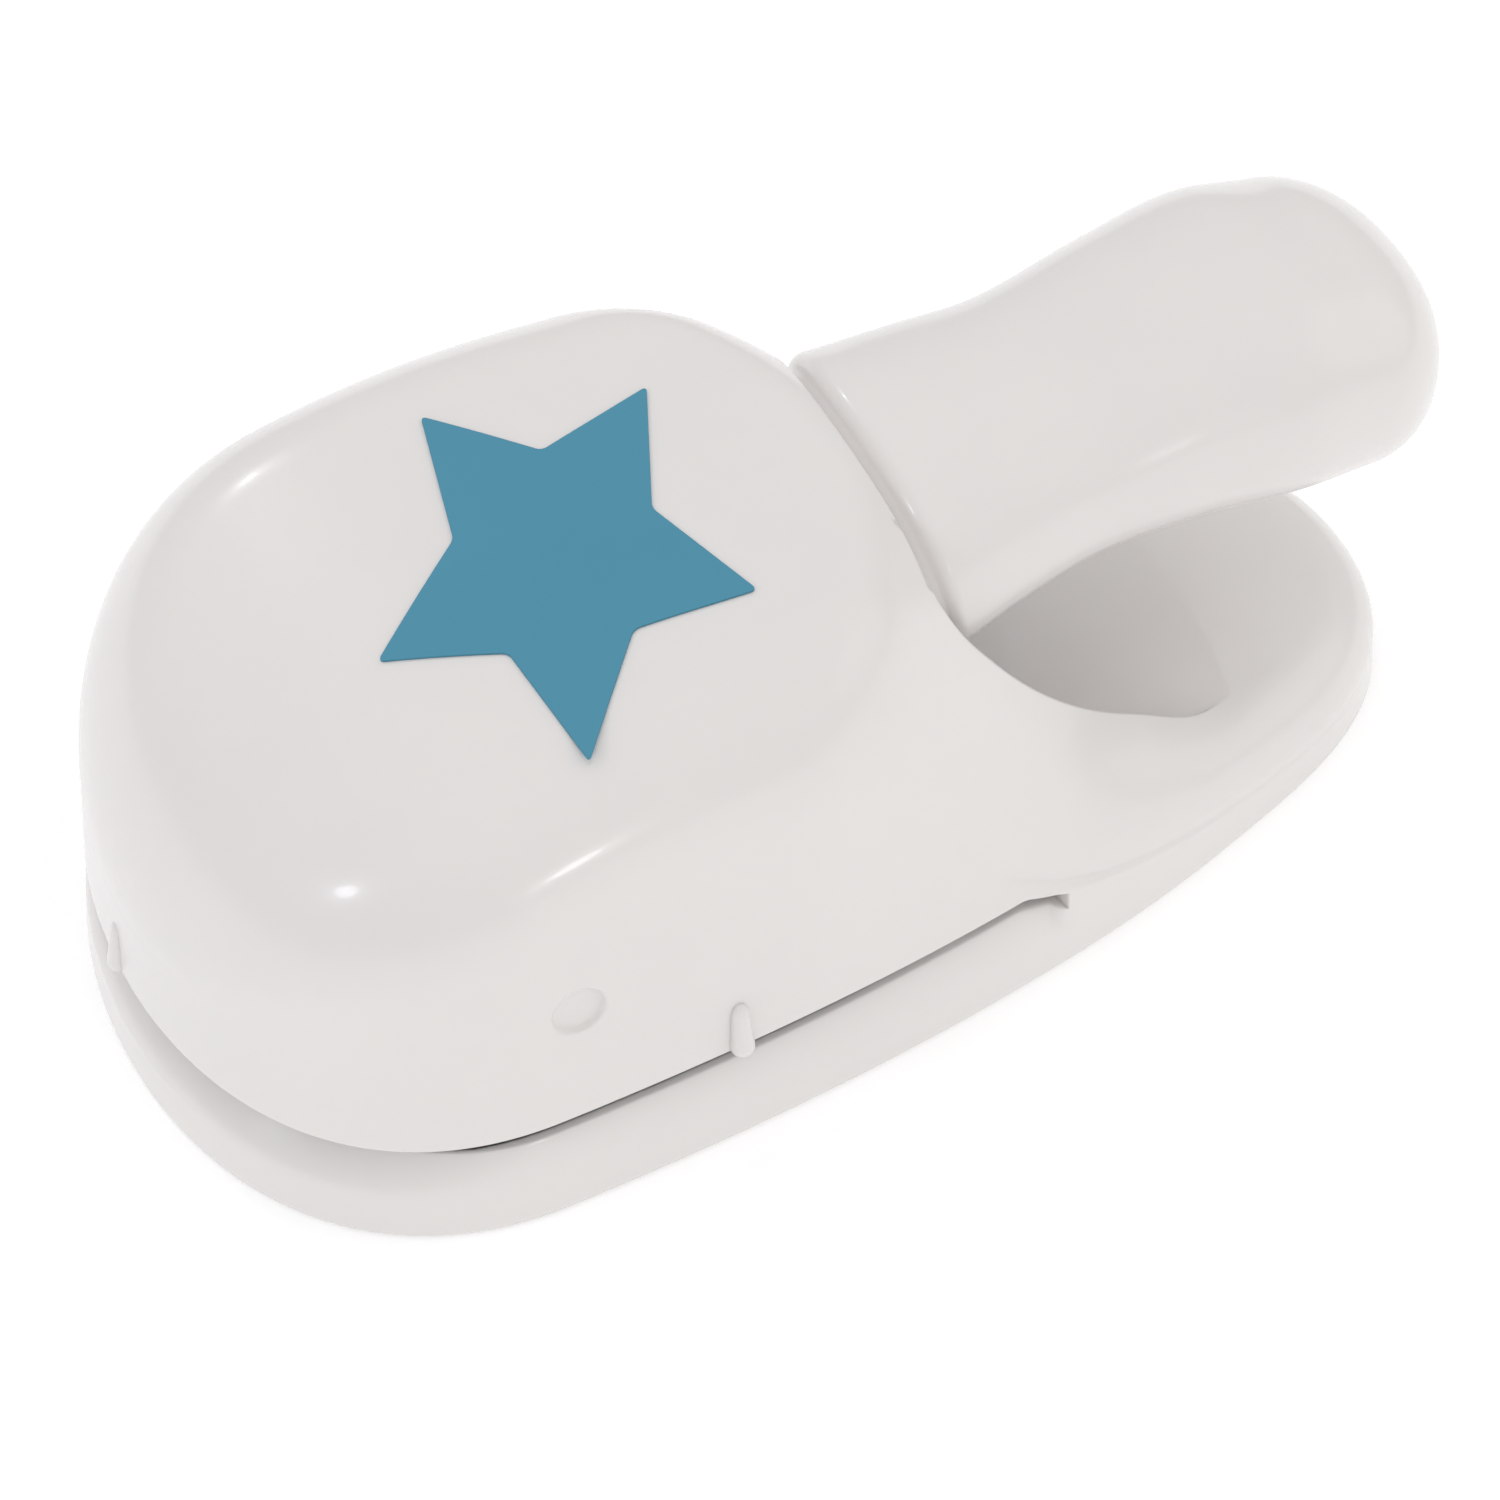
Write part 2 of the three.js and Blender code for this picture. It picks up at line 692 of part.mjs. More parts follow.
/** The handle's outside, or that surface moved inwards. */
function handleSolid(inset) {
  const curveOf = (key) =>
    new THREE.CatmullRomCurve3(handleStations.map((s) => new THREE.Vector3(s.y, s[key], 0)), false, "centripetal");
  const [zs, as, cs] = ["z", "a", "c"].map(curveOf);
  const rings = [];
  const steps = 16;
  for (let k = 0; k <= steps; k++) {
    const t = k / steps;
    const y = zs.getPoint(t).x;
    rings.push(handleSection(y, zs.getPoint(t).y, as.getPoint(t).y - inset, cs.getPoint(t).y - inset));
  }
  const last = handleStations[handleStations.length - 1];
  const capSteps = 5;
  for (let k = 1; k <= capSteps; k++) {
    const angle = (k / capSteps) * (Math.PI / 2) * 0.97;
    const shrink = Math.cos(angle) ** 0.85;
    const along = Math.sin(angle);
    rings.push(
      handleSection(
        last.y + (handleEnd.y - inset - last.y) * along,
        THREE.MathUtils.lerp(last.z, handleEnd.z, along),
        (last.a - inset) * shrink,
        (last.c - inset) * shrink,
      ),
    );
  }
  return loftRings(rings);
}

function leverYoke() {
  const top = yokeBottom + yokeThickness;
  const outer = armOuter;
  const deck = new THREE.Shape();
  deck.moveTo(-outer, pivotY);
  deck.lineTo(-outer, pivotY + 26);
  deck.bezierCurveTo(-outer, pivotY + 38, -neckHalf, pivotY + 40, -neckHalf, pivotY + 52);
  deck.lineTo(neckHalf, pivotY + 52);
  deck.bezierCurveTo(neckHalf, pivotY + 40, outer, pivotY + 38, outer, pivotY + 26);
  deck.lineTo(outer, pivotY);
  deck.lineTo(armInner, pivotY);
  deck.lineTo(armInner, pivotY + 8);
  deck.lineTo(-armInner, pivotY + 8);
  deck.lineTo(-armInner, pivotY);
  deck.closePath();
  let yoke = plate(deck, yokeBottom, top);
  const arm = new THREE.Shape();
  arm.moveTo(pivotY - armBoss, pivotZ);
  arm.absarc(pivotY, pivotZ, armBoss, Math.PI, 1.72 * Math.PI, false);
  arm.lineTo(pivotY + 24, yokeBottom + 1);
  arm.lineTo(pivotY + 24, top);
  arm.lineTo(pivotY, top);
  arm.closePath();
  yoke = yoke.add(sidePlate(arm, armInner, outer)).add(sidePlate(arm, -outer, -armInner));
  // Cheeks beside the press bar.
  for (const side of [-1, 1]) {
    const x = (side * (pressLength / 2 + 1.7)) - 1.5;
    yoke = yoke.add(block(x, x + 3, dieY - 4.5, dieY + 4.5, pressZ - 2, yokeBottom + 1));
  }
  return yoke;
}

/** Where the handle may be: behind the rear face of the head, by the groove. */
function handleRoom() {
  return troughSolid(-grooveGap);
}

function lever() {
  const neckRear = troughFront + 8;
  const neckSide = new THREE.Shape();
  neckSide.moveTo(pivotY + 40, yokeBottom);
  neckSide.lineTo(pivotY + 47, 32);
  neckSide.lineTo(neckRear, 32);
  neckSide.lineTo(neckRear, 45);
  neckSide.lineTo(troughFront - 3, 44);
  neckSide.lineTo(pivotY + 44, yokeBottom + yokeThickness + 2.6);
  neckSide.lineTo(pivotY + 36, yokeBottom + yokeThickness);
  neckSide.lineTo(pivotY + 36, yokeBottom);
  neckSide.closePath();
  const neck = sidePlate(neckSide, -neckHalf + 1.5, neckHalf - 1.5);
  const hollow = handleSolid(leverWall).intersect(troughSolid(-grooveGap - leverWall));
  let body = handleSolid(0).intersect(handleRoom()).subtract(hollow).subtract(coverCut(0.25));
  body = body.add(neck).add(leverYoke());
  for (const y of leverScrewYs) {
    const z = handleLevel(y, -1);
    body = body.add(rodZ(0, y, z + leverWall + 0.6, handleLevel(y, 1) - leverWall / 2, 2.8));
    body = body.subtract(rodZ(0, y, z, z + 9, screwRadius + 0.1));
  }
  body = body.subtract(rodX(pivotY, pivotZ, -60, 60, axleRadius + axleClearance));
  body = body.subtract(rodX(dieY, pressZ, -pressLength / 2 - 2, pressLength / 2 + 2, pressRadius + 0.12));
  return body.subtract(rodX(dieY, pressZ, -pressLength / 2, pressLength / 2, pressRadius + 0.12));
}

const leverScrewYs = [112, 138];
const coverFront = 102;
const coverRear = 148;
const coverHalf = 10.5;

/** Height of the handle's underside (side -1) or top (side 1) at a place along it. */
function handleLevel(y, side) {
  const next = handleStations.findIndex((s) => s.y >= y);
  const [a, b] = [handleStations[next - 1], handleStations[next]];
  const t = (y - a.y) / (b.y - a.y);
  return THREE.MathUtils.lerp(a.z + side * a.c, b.z + side * b.c, t);
}

/** The window under the handle that its cover fills. */
function coverCut(grow) {
  return block(-coverHalf - grow, coverHalf + grow, coverFront - grow, coverRear + grow, 20, 42);
}

function leverCover() {
  let cover = handleSolid(0).subtract(handleSolid(leverWall)).intersect(coverCut(0));
  for (const y of leverScrewYs) {
    const z = handleLevel(y, -1);
    cover = cover.subtract(rodZ(0, y, z - 1, z + 5, screwRadius + 0.25));
    cover = cover.subtract(rodZ(0, y, z - 2, z + 1.6, screwHeadRadius + 0.3));
  }
  return cover;
}

function pressBar() {
  return rodX(dieY, pressZ, -pressLength / 2, pressLength / 2, pressRadius);
}

function pivotAxle() {
  return rodX(pivotY, pivotZ, -axleHalf, axleHalf, axleRadius);
}

/** A plug under one end of the axle, kept in its slot by the guide plate. */
function axleKeeper(side) {
  const half = axleRadius - keeperGap;
  const [x0, x1] = xRange(side, axleHalf - bossReach + 2 * keeperGap, axleHalf);
  return block(x0, x1, pivotY - half, pivotY + half, guideTop + keeperGap, pivotZ - axleRadius - keeperGap);
}

/** A retaining ring on the axle, just inside the arm of the yoke. */
function axleClip(side) {
  const x = armInner - 0.4;
  const outer = rodX(pivotY, pivotZ, x - 1, x, axleRadius + 1.7);
  const ring = outer.subtract(rodX(pivotY, pivotZ, x - 2, x + 1, axleRadius + 0.05));
  return side < 0 ? ring.mirror([1, 0, 0]) : ring;
}

// ---------------------------------------------------------------- assembly

const materials = {
  white: new THREE.MeshStandardMaterial({ color: 0xe6e4e2, roughness: 0.3, metalness: 0 }),
  cover: new THREE.MeshStandardMaterial({ color: 0xd8d6d2, roughness: 0.5, metalness: 0 }),
  label: new THREE.MeshStandardMaterial({ color: 0x5293ae, roughness: 0.5, metalness: 0 }),
  steel: new THREE.MeshStandardMaterial({ color: 0xb9bcc0, roughness: 0.3, metalness: 1 }),
  spring: new THREE.MeshStandardMaterial({ color: 0x9a9da2, roughness: 0.35, metalness: 1 }),
  carrier: new THREE.MeshStandardMaterial({ color: 0x8f9499, roughness: 0.55, metalness: 0 }),
};

const punch = new THREE.Group();

function addPart(name, solid, material) {
  const mesh = new THREE.Mesh(geometryFrom(solid), materials[material]);
  mesh.name = name;
  punch.add(mesh);
}

addPart("housing", housing(), "white");
addPart("motif_label", motifLabel(), "label");
addPart("bottom_cover", bottomCover(), "cover");
addPart("die_plate", diePlate(), "steel");
addPart("guide_plate", guidePlate(), "steel");
addPart("paper_stop", paperStop(), "steel");
addPart("pivot_axle", pivotAxle(), "steel");
addPart("axle_keeper_left", axleKeeper(-1), "cover");
addPart("axle_keeper_right", axleKeeper(1), "cover");
addPart("axle_clip_left", axleClip(-1), "steel");
addPart("axle_clip_right", axleClip(1), "steel");
for (const [name, [x, y]] of Object.entries(coverScrewPlaces)) {
  addPart(`cover_screw_${name}`, screw(x, y, 0.1, screwLength), "steel");
}
for (const [name, [x, y]] of Object.entries(dieScrewPlaces)) {
  addPart(`die_screw_${name}`, screw(x, y, dieBottom - screwHeadHeight, screwLength + 5), "steel");
}
for (const [name, [x, y]] of Object.entries(postPlaces)) {
  addPart(`guide_post_${name}`, guidePost(x, y), "steel");
  addPart(`return_spring_${name}`, returnSpring(x, y), "spring");
}
addPart("lever", lever(), "white");
addPart("lever_cover", leverCover(), "white");
leverScrewYs.forEach((y, i) => {
  addPart(`lever_screw_${i ? "rear" : "front"}`, screw(0, y, handleLevel(y, -1) + 0.1, screwLength + 1), "steel");
});
addPart("press_bar", pressBar(), "steel");
addPart("punch_blade", punchBlade(), "steel");
addPart("punch_carrier", punchCarrier(), "carrier");
addPart("wear_pad", wearPad(), "steel");
punchScrewYs.forEach((y, i) => addPart(`punch_screw_${i ? "rear" : "front"}`, punchScrew(y), "steel"));

// The origin is under the middle of the whole punch, on the surface it stands on.
const extent = new THREE.Box3().setFromObject(punch);
punch.position.y = -(extent.min.y + extent.max.y) / 2;

export default punch;
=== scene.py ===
"""Large craft punch that cuts a paper star, with a long hand lever.

Sizes in the classes are millimetres in the punch's own plan: the nose is at y = 0,
the handle points to +Y and z = 0 is the surface it stands on. Bench.finish turns
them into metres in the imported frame.
"""
import logging
import math
from dataclasses import dataclass, field
from enum import Enum
from typing import Callable, Iterable, Optional, Sequence, Union

import bmesh
import bpy
from mathutils import Matrix, Vector
from mathutils.geometry import interpolate_bezier


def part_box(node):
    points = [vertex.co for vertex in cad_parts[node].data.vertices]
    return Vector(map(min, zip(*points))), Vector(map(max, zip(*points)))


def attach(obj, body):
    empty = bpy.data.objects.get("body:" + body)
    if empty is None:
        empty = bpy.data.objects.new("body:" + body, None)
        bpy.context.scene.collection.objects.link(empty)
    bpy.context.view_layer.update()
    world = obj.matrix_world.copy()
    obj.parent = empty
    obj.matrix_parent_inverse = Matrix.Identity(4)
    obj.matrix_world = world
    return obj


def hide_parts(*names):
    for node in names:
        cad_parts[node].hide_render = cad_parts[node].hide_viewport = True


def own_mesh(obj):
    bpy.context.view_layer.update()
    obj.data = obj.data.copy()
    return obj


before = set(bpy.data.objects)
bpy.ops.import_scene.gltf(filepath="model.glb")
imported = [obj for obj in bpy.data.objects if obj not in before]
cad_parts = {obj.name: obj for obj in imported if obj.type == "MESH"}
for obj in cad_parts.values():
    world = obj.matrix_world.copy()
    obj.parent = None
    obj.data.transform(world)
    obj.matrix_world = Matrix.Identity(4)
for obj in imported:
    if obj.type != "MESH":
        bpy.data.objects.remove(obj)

logging.basicConfig(level=logging.INFO, format="%(name)s: %(message)s")
log = logging.getLogger("craft_punch")

MM = 0.001
Mesh = bmesh.types.BMesh
Pair = tuple[float, float]
Colour = tuple[float, float, float]


# ---------------------------------------------------------------- named options


class Body(Enum):
    """The bodies that the remade pieces ride on."""

    CASE = "body"
    LEVER = "lever"


class Slot(Enum):
    """The record's material slot names that go with the remade pieces."""

    WHITE = "white_plastic"
    LABEL = "label"
    SPRING = "spring_steel"
    STEEL = "steel"


class Join(Enum):
    """How one solid is combined with another."""

    ADD = "UNION"
    CUT = "DIFFERENCE"
    KEEP = "INTERSECT"


# ---------------------------------------------------------------- small maths


def smoothstep(low: float, high: float, value: float) -> float:
    """A soft step from 0 at low to 1 at high."""
    t = min(1.0, max(0.0, (value - low) / (high - low)))
    return t * t * (3 - 2 * t)


def lerp(a: float, b: float, t: float) -> float:
    """The value a share t of the way from a to b."""
    return a + (b - a) * t


def soft_max(a: float, b: float, width: float) -> float:
    """The larger of two values, with the corner between them rounded over width."""
    gap = max(width - abs(a - b), 0.0) / width
    return max(a, b) + gap * gap * width / 4


def soft_min(a: float, b: float, width: float) -> float:
    """The smaller of two values, with the corner between them rounded over width."""
    return -soft_max(-a, -b, width)


def smooth_through(knots: Sequence[Pair], at: float) -> float:
    """A smooth curve through (place, value) knots.

    Args:
        knots: Places in rising order, each with its value.
        at: The place wanted; past the ends the curve stays at the end value.

    Returns:
        The value of the curve there.
    """
    at = min(max(at, knots[0][0]), knots[-1][0])
    k = next(i for i in range(len(knots) - 1) if at <= knots[i + 1][0])
    (x0, v0), (x1, v1) = knots[k], knots[k + 1]
    run = x1 - x0

    def slope(i: int) -> float:
        """Slope of the curve at one knot."""
        before, after = knots[max(i - 1, 0)], knots[min(i + 1, len(knots) - 1)]
        return (after[1] - before[1]) / (after[0] - before[0])

    t = (at - x0) / run
    a, b = v0, v1
    da, db = slope(k) * run, slope(k + 1) * run
    return (
        (2 * t**3 - 3 * t**2 + 1) * a
        + (t**3 - 2 * t**2 + t) * da
        + (3 * t**2 - 2 * t**3) * b
        + (t**3 - t**2) * db
    )


# ---------------------------------------------------------------- bench


def add_object(name: str, data: bpy.types.ID) -> bpy.types.Object:
    """Puts a new object into the scene."""
    obj = bpy.data.objects.new(name, data)
    bpy.context.scene.collection.objects.link(obj)
    return obj


def add_mesh(name: str, bm: Mesh) -> bpy.types.Object:
    """Puts a mesh into the scene as a new object, and frees it."""
    data = bpy.data.meshes.new(name)
    bm.to_mesh(data)
    bm.free()
    return add_object(name, data)


def side_plane(x: float) -> Matrix:
    """Lays an outline drawn as (y, z) into the upright plane at x."""
    return Matrix(((0, 0, 1, x), (1, 0, 0, 0), (0, 1, 0, 0), (0, 0, 0, 1)))


class Bench:
    """Holds the common work on meshes: lofting, combining and finishing."""

    def __init__(self) -> None:
        """Finds where the punch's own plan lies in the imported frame."""
        low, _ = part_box("housing")
        self.nose = low.y

    @staticmethod
    def loft(rows: int, count: int, place: Callable[[int, int], Vector]) -> Mesh:
        """Grows a tube row by row from a circle of vertices.

        Args:
            rows: Number of rows of vertices.
            count: Vertices in a row.
            place: Gives the place of vertex i of row k.

        Returns:
            The tube; rows that meet in points or lines are merged, and open ends are
            closed with one face.
        """
        bm = bmesh.new()
        spot = bm.verts.layers.int.new("spot")
        ring = bmesh.ops.create_circle(bm, cap_ends=False, segments=count, radius=1.0)
        for i, vert in enumerate(ring["verts"]):
            vert[spot] = i
            vert.co = place(0, i)
        edges = list(bm.edges)
        for row in range(1, rows):
            made = bmesh.ops.extrude_edge_only(bm, edges=edges)["geom"]
            fresh = {v for v in made if isinstance(v, bmesh.types.BMVert)}
            for vert in fresh:
                vert.co = place(row, vert[spot])
            edges = [
                e
                for e in made
                if isinstance(e, bmesh.types.BMEdge) and fresh.issuperset(e.verts)
            ]
        bmesh.ops.remove_doubles(bm, verts=bm.verts, dist=1e-4)
        bmesh.ops.holes_fill(bm, edges=[e for e in bm.edges if e.is_boundary])
        bmesh.ops.recalc_face_normals(bm, faces=bm.faces)
        return bm

    @staticmethod
    def block(x: Pair, y: Pair, z: Pair, round_by: float = 0.0, segments: int = 3) -> Mesh:
        """A box between two corners, with its edges rounded if asked."""
        bm = bmesh.new()
        bmesh.ops.create_cube(bm, size=1.0)
        size = Vector((x[1] - x[0], y[1] - y[0], z[1] - z[0]))
        centre = Vector((sum(x), sum(y), sum(z))) / 2
        bmesh.ops.scale(bm, vec=size, verts=bm.verts)
        bmesh.ops.translate(bm, vec=centre, verts=bm.verts)
        if round_by:
            Bench.round_edges(bm, bm.edges, round_by, segments)
        return bm

    @staticmethod
    def slab(outline: Sequence[Pair], depth: Vector, lie: Optional[Matrix] = None) -> Mesh:
        """A flat outline pulled straight along depth.

        Args:
            outline: Corners in order, drawn in X and Y.
            depth: How far and which way the outline is pulled, once it lies in place.
            lie: Turns the drawn outline into its place.

        Returns:
            The closed slab.
        """
        bm = bmesh.new()
        flat = bm.faces.new([bm.verts.new((x, y, 0.0)) for x, y in outline])
        if lie is not None:
            bmesh.ops.transform(bm, matrix=lie, verts=bm.verts)
        pulled = bmesh.ops.extrude_face_region(bm, geom=[flat], use_keep_orig=True)
        moved = [v for v in pulled["geom"] if isinstance(v, bmesh.types.BMVert)]
        bmesh.ops.translate(bm, vec=depth, verts=moved)
        bmesh.ops.recalc_face_normals(bm, faces=bm.faces)
        return bm

    @staticmethod
    def turned(profile: Sequence[Pair], steps: int = 40) -> Mesh:
        """A solid of revolution about Z.

        Args:
            profile: (radius, height) points that start and end on the axis.
            steps: Facets round the axis.

        Returns:
            The closed solid.
        """
        bm = bmesh.new()
        verts = [bm.verts.new((radius, 0.0, height)) for radius, height in profile]
        edges = [bm.edges.new(pair) for pair in zip(verts, verts[1:])]
        bmesh.ops.spin(
            bm,
            geom=verts + edges,
            cent=(0, 0, 0),
            axis=(0, 0, 1),
            angle=2 * math.pi,
            steps=steps,
            use_merge=True,
        )
        bmesh.ops.remove_doubles(bm, verts=bm.verts, dist=1e-4)
        bmesh.ops.recalc_face_normals(bm, faces=bm.faces)
        return bm

    @staticmethod
    def round_edges(bm: Mesh, edges: Iterable[bmesh.types.BMEdge], by: float, segments: int) -> None:
        """Rounds edges by a radius."""
        bmesh.ops.bevel(
            bm,
            geom=list(edges),
            offset=by,
            affect="EDGES",
            segments=segments,
            profile=0.5,
            material=-1,
            clamp_overlap=True,
        )

    @staticmethod
    def combine(base: Mesh, tool: Mesh, how: Join) -> Mesh:
        """Adds, cuts or keeps one closed solid with another, and frees both.

        Args:
            base: The solid worked on.
            tool: The solid it is combined with.
            how: The kind of combination.

        Returns:
            A new closed solid.
        """
        kept, helper = add_mesh("base", base), add_mesh("tool", tool)
        modifier = kept.modifiers.new("combine", "BOOLEAN")
        modifier.operation = how.value
        modifier.solver = "MANIFOLD"
        modifier.object = helper
        result = bmesh.new()
        result.from_object(kept, bpy.context.evaluated_depsgraph_get())
        for obj in (kept, helper):
            data = obj.data
            bpy.data.objects.remove(obj)
            bpy.data.meshes.remove(data)
        if not result.faces:
            raise RuntimeError("a combination of two solids came out empty")
        return result

    def finish(
        self,
        bm: Mesh,
        name: str,
        body: Body,
        slot: Slot,
        finish: bpy.types.Material,
        replaces: Sequence[str],
        smooth: float = 35.0,
    ) -> bpy.types.Object:
        """Turns a mesh in millimetres into a finished piece in the frame.

        Args:
            bm: The mesh, which is freed.
            name: The piece's name.
            body: The body that it rides on.
            slot: Not used.
            finish: Its material.
            replaces: The frame nodes that it stands for.
            smooth: Edges sharper than this many degrees stay crisp.

        Returns:
            The piece's object.
        """
        bmesh.ops.scale(bm, vec=(MM, MM, MM), verts=bm.verts)
        bmesh.ops.translate(bm, vec=(0, self.nose, 0), verts=bm.verts)
        for face in bm.faces:
            face.smooth = True
        obj = add_mesh(name, bm)
        obj.data.set_sharp_from_angle(angle=math.radians(smooth))
        obj.data.materials.append(finish)
        even = obj.modifiers.new("even_normals", "WEIGHTED_NORMAL")
        even.keep_sharp = True
        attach(obj, body.value)
        if replaces:
            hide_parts(*replaces)
        log.info("%s: %d faces on %s", name, len(obj.data.polygons), body.value)
        return obj


# ---------------------------------------------------------------- form of the case


@dataclass(frozen=True)
class CaseForm:
    """Outline, heights and roundings of the moulded case."""

    length: float = 158.0
    width: float = 84.0
    widest_at: float = 36.0
    taper_at: float = 123.0
    taper_width: float = 62.0
    nose_handle: float = 21.0
    head_height: float = 57.8
    crown_end: float = 62.0
    crown_fall: float = 0.005
    tail_top: float = 8.5
    shoulder_start: float = 77.5
    shoulder_run: float = 22.2
    shoulder_power: float = 2.35
    shoulder_bow: float = 7.0
    bow_half: float = 22.0
    draft: float = 0.1
    head_round: float = 14.0
    nose_round_extra: float = 4.0
    tail_round: float = 6.5
    spine_front: float = 32.0
    spine_rear: float = 124.0
    rim: float = 3.0
    tall_wall: float = 17.0
    steps_per_span: int = 400

    def outline(self, count: int) -> list[Vector]:
        """The case's outline in plan.

        Args:
            count: Points round the outline, an even number.

        Returns:
            Evenly spaced points, from the nose round the right side to the tail and back.
        """
        half, taper = self.width / 2, self.taper_width / 2
        lean = Vector((-8.0, 25.0)).normalized()
        middle = (self.taper_at - self.widest_at) * 0.32
        tail = (self.length - self.taper_at) * 0.5
        widest, bend = Vector((half, self.widest_at)), Vector((taper, self.taper_at))
        spans = (
            (Vector((0, 0)), Vector((self.nose_handle, 0)), Vector((half, self.widest_at * 0.3)), widest),
            (widest, widest + Vector((0, middle)), bend - lean * middle, bend),
            (bend, bend + lean * tail, Vector((taper * 0.66, self.length)), Vector((0, self.length))),
        )
        dense: list[Vector] = []
        for span in spans:
            curve = interpolate_bezier(*(knot.to_3d() for knot in span), self.steps_per_span)
            dense += [Vector(point[:2]) for point in curve]
        run = [0.0]
        for a, b in zip(dense, dense[1:]):
            run.append(run[-1] + (b - a).length)
        right, k = [], 0
        for i in range(count // 2 + 1):
            goal = run[-1] * i / (count // 2)
            while k < len(run) - 2 and run[k + 1] < goal:
                k += 1
            step = run[k + 1] - run[k]
            right.append(dense[k].lerp(dense[k + 1], (goal - run[k]) / step if step else 0.0))
        left = [Vector((-p.x, p.y)) for p in reversed(right[1:-1])]
        return right + left

    def top(self, x: float, y: float) -> float:
        """Height of the case's top above a place in plan."""
        bow = self.shoulder_bow * ((x / self.bow_half) ** 2 - 1)
        q = max(0.0, (y + bow - self.shoulder_start) / self.shoulder_run)
        crown = self.crown_fall * max(0.0, self.crown_end - y) ** 2
        return self.tail_top + (self.head_height - crown - self.tail_top) / (1 + q**self.shoulder_power)

    def inward(self, edge: Vector) -> tuple[Vector, float]:
        """Direction and distance from an outline point to the middle line of the case."""
        spine = Vector((0.0, min(max(edge.y, self.spine_front), self.spine_rear)))
        way = spine - edge
        return way.normalized(), way.length

    def roundings(self, edge: Vector, inset: float) -> tuple[float, float]:
        """Radius between wall and top at an outline point, and how far the wall leans in."""
        nominal = self.top(edge.x * 0.7, edge.y)
        share = (nominal - self.tail_top) / (self.head_height - self.tail_top)
        way, _ = self.inward(edge)
        nose = max(0.0, way.y) if edge.y < self.spine_front else 0.0
        outer = self.tail_round + (self.head_round - self.tail_round) * share
        outer += self.nose_round_extra * nose * nose
        return outer - 0.7 * inset, self.draft * (nominal - outer)

    def place(self, edge: Vector, along: float, z: Optional[float], inset: float = 0.0) -> Vector:
        """A point that lies a distance in from the outline, on the top where z is None."""
        way, _ = self.inward(edge)
        spot = edge + way * along
        height = self.top(spot.x, spot.y) - inset if z is None else z
        return Vector((spot.x, spot.y, height))

    def wall_share(self, edge: Vector, round_by: float) -> float:
        """Share of the tall wall's height that the wall has at an outline point."""
        way, _ = self.inward(edge)
        return min(1.0, (self.top(*(edge + way * self.rim)) - round_by) / self.tall_wall)

    def wall_face(self, z: float) -> float:
        """Half width of the case at a height, at its widest place."""
        return self.width / 2 - self.draft * z


@dataclass(frozen=True)
class SlotForm:
    """The paper slot round the head, and the lip below it."""

    bottom: float = 12.0
    top: float = 14.0
    end: float = 99.0
    end_soft: float = 0.9
    ramp_foot: float = 6.5
    ramp_top: float = 11.0
    side_skirt: float = 2.6
    nose_skirt: float = 5.0
    ramp_round: float = 1.3
    lip_edge: float = 0.25
    lip_lean: float = 1.07
    depth: float = 14.0
    edge_round: float = 0.5

    def skirt(self, y: float) -> float:
        """Thickness of the wall below the slot at a place along the case."""
        return lerp(self.nose_skirt, self.side_skirt, smoothstep(8.0, 34.0, y))

    def share(self, y: float) -> float:
        """1 where the slot is open, falling to 0 at its end."""
        return 1.0 - smoothstep(self.end - self.end_soft, self.end, y)


@dataclass(frozen=True)
class TroughForm:
    """The hollow in the tail that takes the pressed handle."""

    half: float = 22.0
    front: float = 91.2
    lean_from: float = 42.0
    top_front: float = 88.2
    floor: float = 10.5
    rise: float = 0.036
    ramp: Pair = (104.0, 134.0)
    ramp_rise: float = 2.0
    merge: Pair = (115.0, 134.0)
    merge_soft: float = 2.4
    step: float = 4.0
    far: float = 173.0
    sky: float = 90.0
    head_height: float = 57.8

    def floor_at(self, y: float) -> float:
        """Height of the floor at a place along the case."""
        return self.floor + self.rise * (y - self.front) + self.ramp_rise * smoothstep(*self.ramp, y)

    def settle(self, y: float, z: float) -> float:
        """Height of the case's top once the floor has run out into the tail."""
        return lerp(z, soft_min(z, self.floor_at(y), self.merge_soft), smoothstep(*self.merge, y))

    def front_at(self, z: float) -> float:
        """Place of the head's rear face at a height."""
        lean = min(max((z - self.lean_from) / (self.head_height - self.lean_from), 0.0), 1.0)
        return lerp(self.front, self.top_front, lean)

    def solid(self, grow: float, soften: float = 0.0) -> Mesh:
        """The room of the trough as a solid, grown by a margin.

        Args:
            grow: How far each face moves out.
            soften: Radius of its lower corners.

        Returns:
            The closed solid.
        """
        front, half = self.front - grow, self.half + grow
        places = [front] + [self.front + self.step * k for k in range(1, 15)] + [self.far]
        side = [(y, self.floor_at(y) - grow) for y in places] + [
            (self.far, self.sky),
            (self.top_front - grow, self.sky),
            (self.top_front - grow, self.head_height),
            (front, self.lean_from),
        ]
        bm = Bench.slab(side, Vector((2 * half, 0, 0)), side_plane(-half))
        if soften:
            Bench.round_edges(bm, [e for e in bm.edges if self._is_corner(e)], soften, 5)
        return bm

    def _is_corner(self, edge: bmesh.types.BMEdge) -> bool:
        """Whether an edge of the solid lies in a corner of the floor, a side or the front."""
        a, b = (vert.co for vert in edge.verts)
        on_side = abs(a.x - b.x) < 1e-3
        is_low = max(a.z, b.z) < self.lean_from - 1
        at_front = max(a.y, b.y) < self.front + 1
        return sum((on_side, is_low, at_front)) >= 2


# ---------------------------------------------------------------- finishes


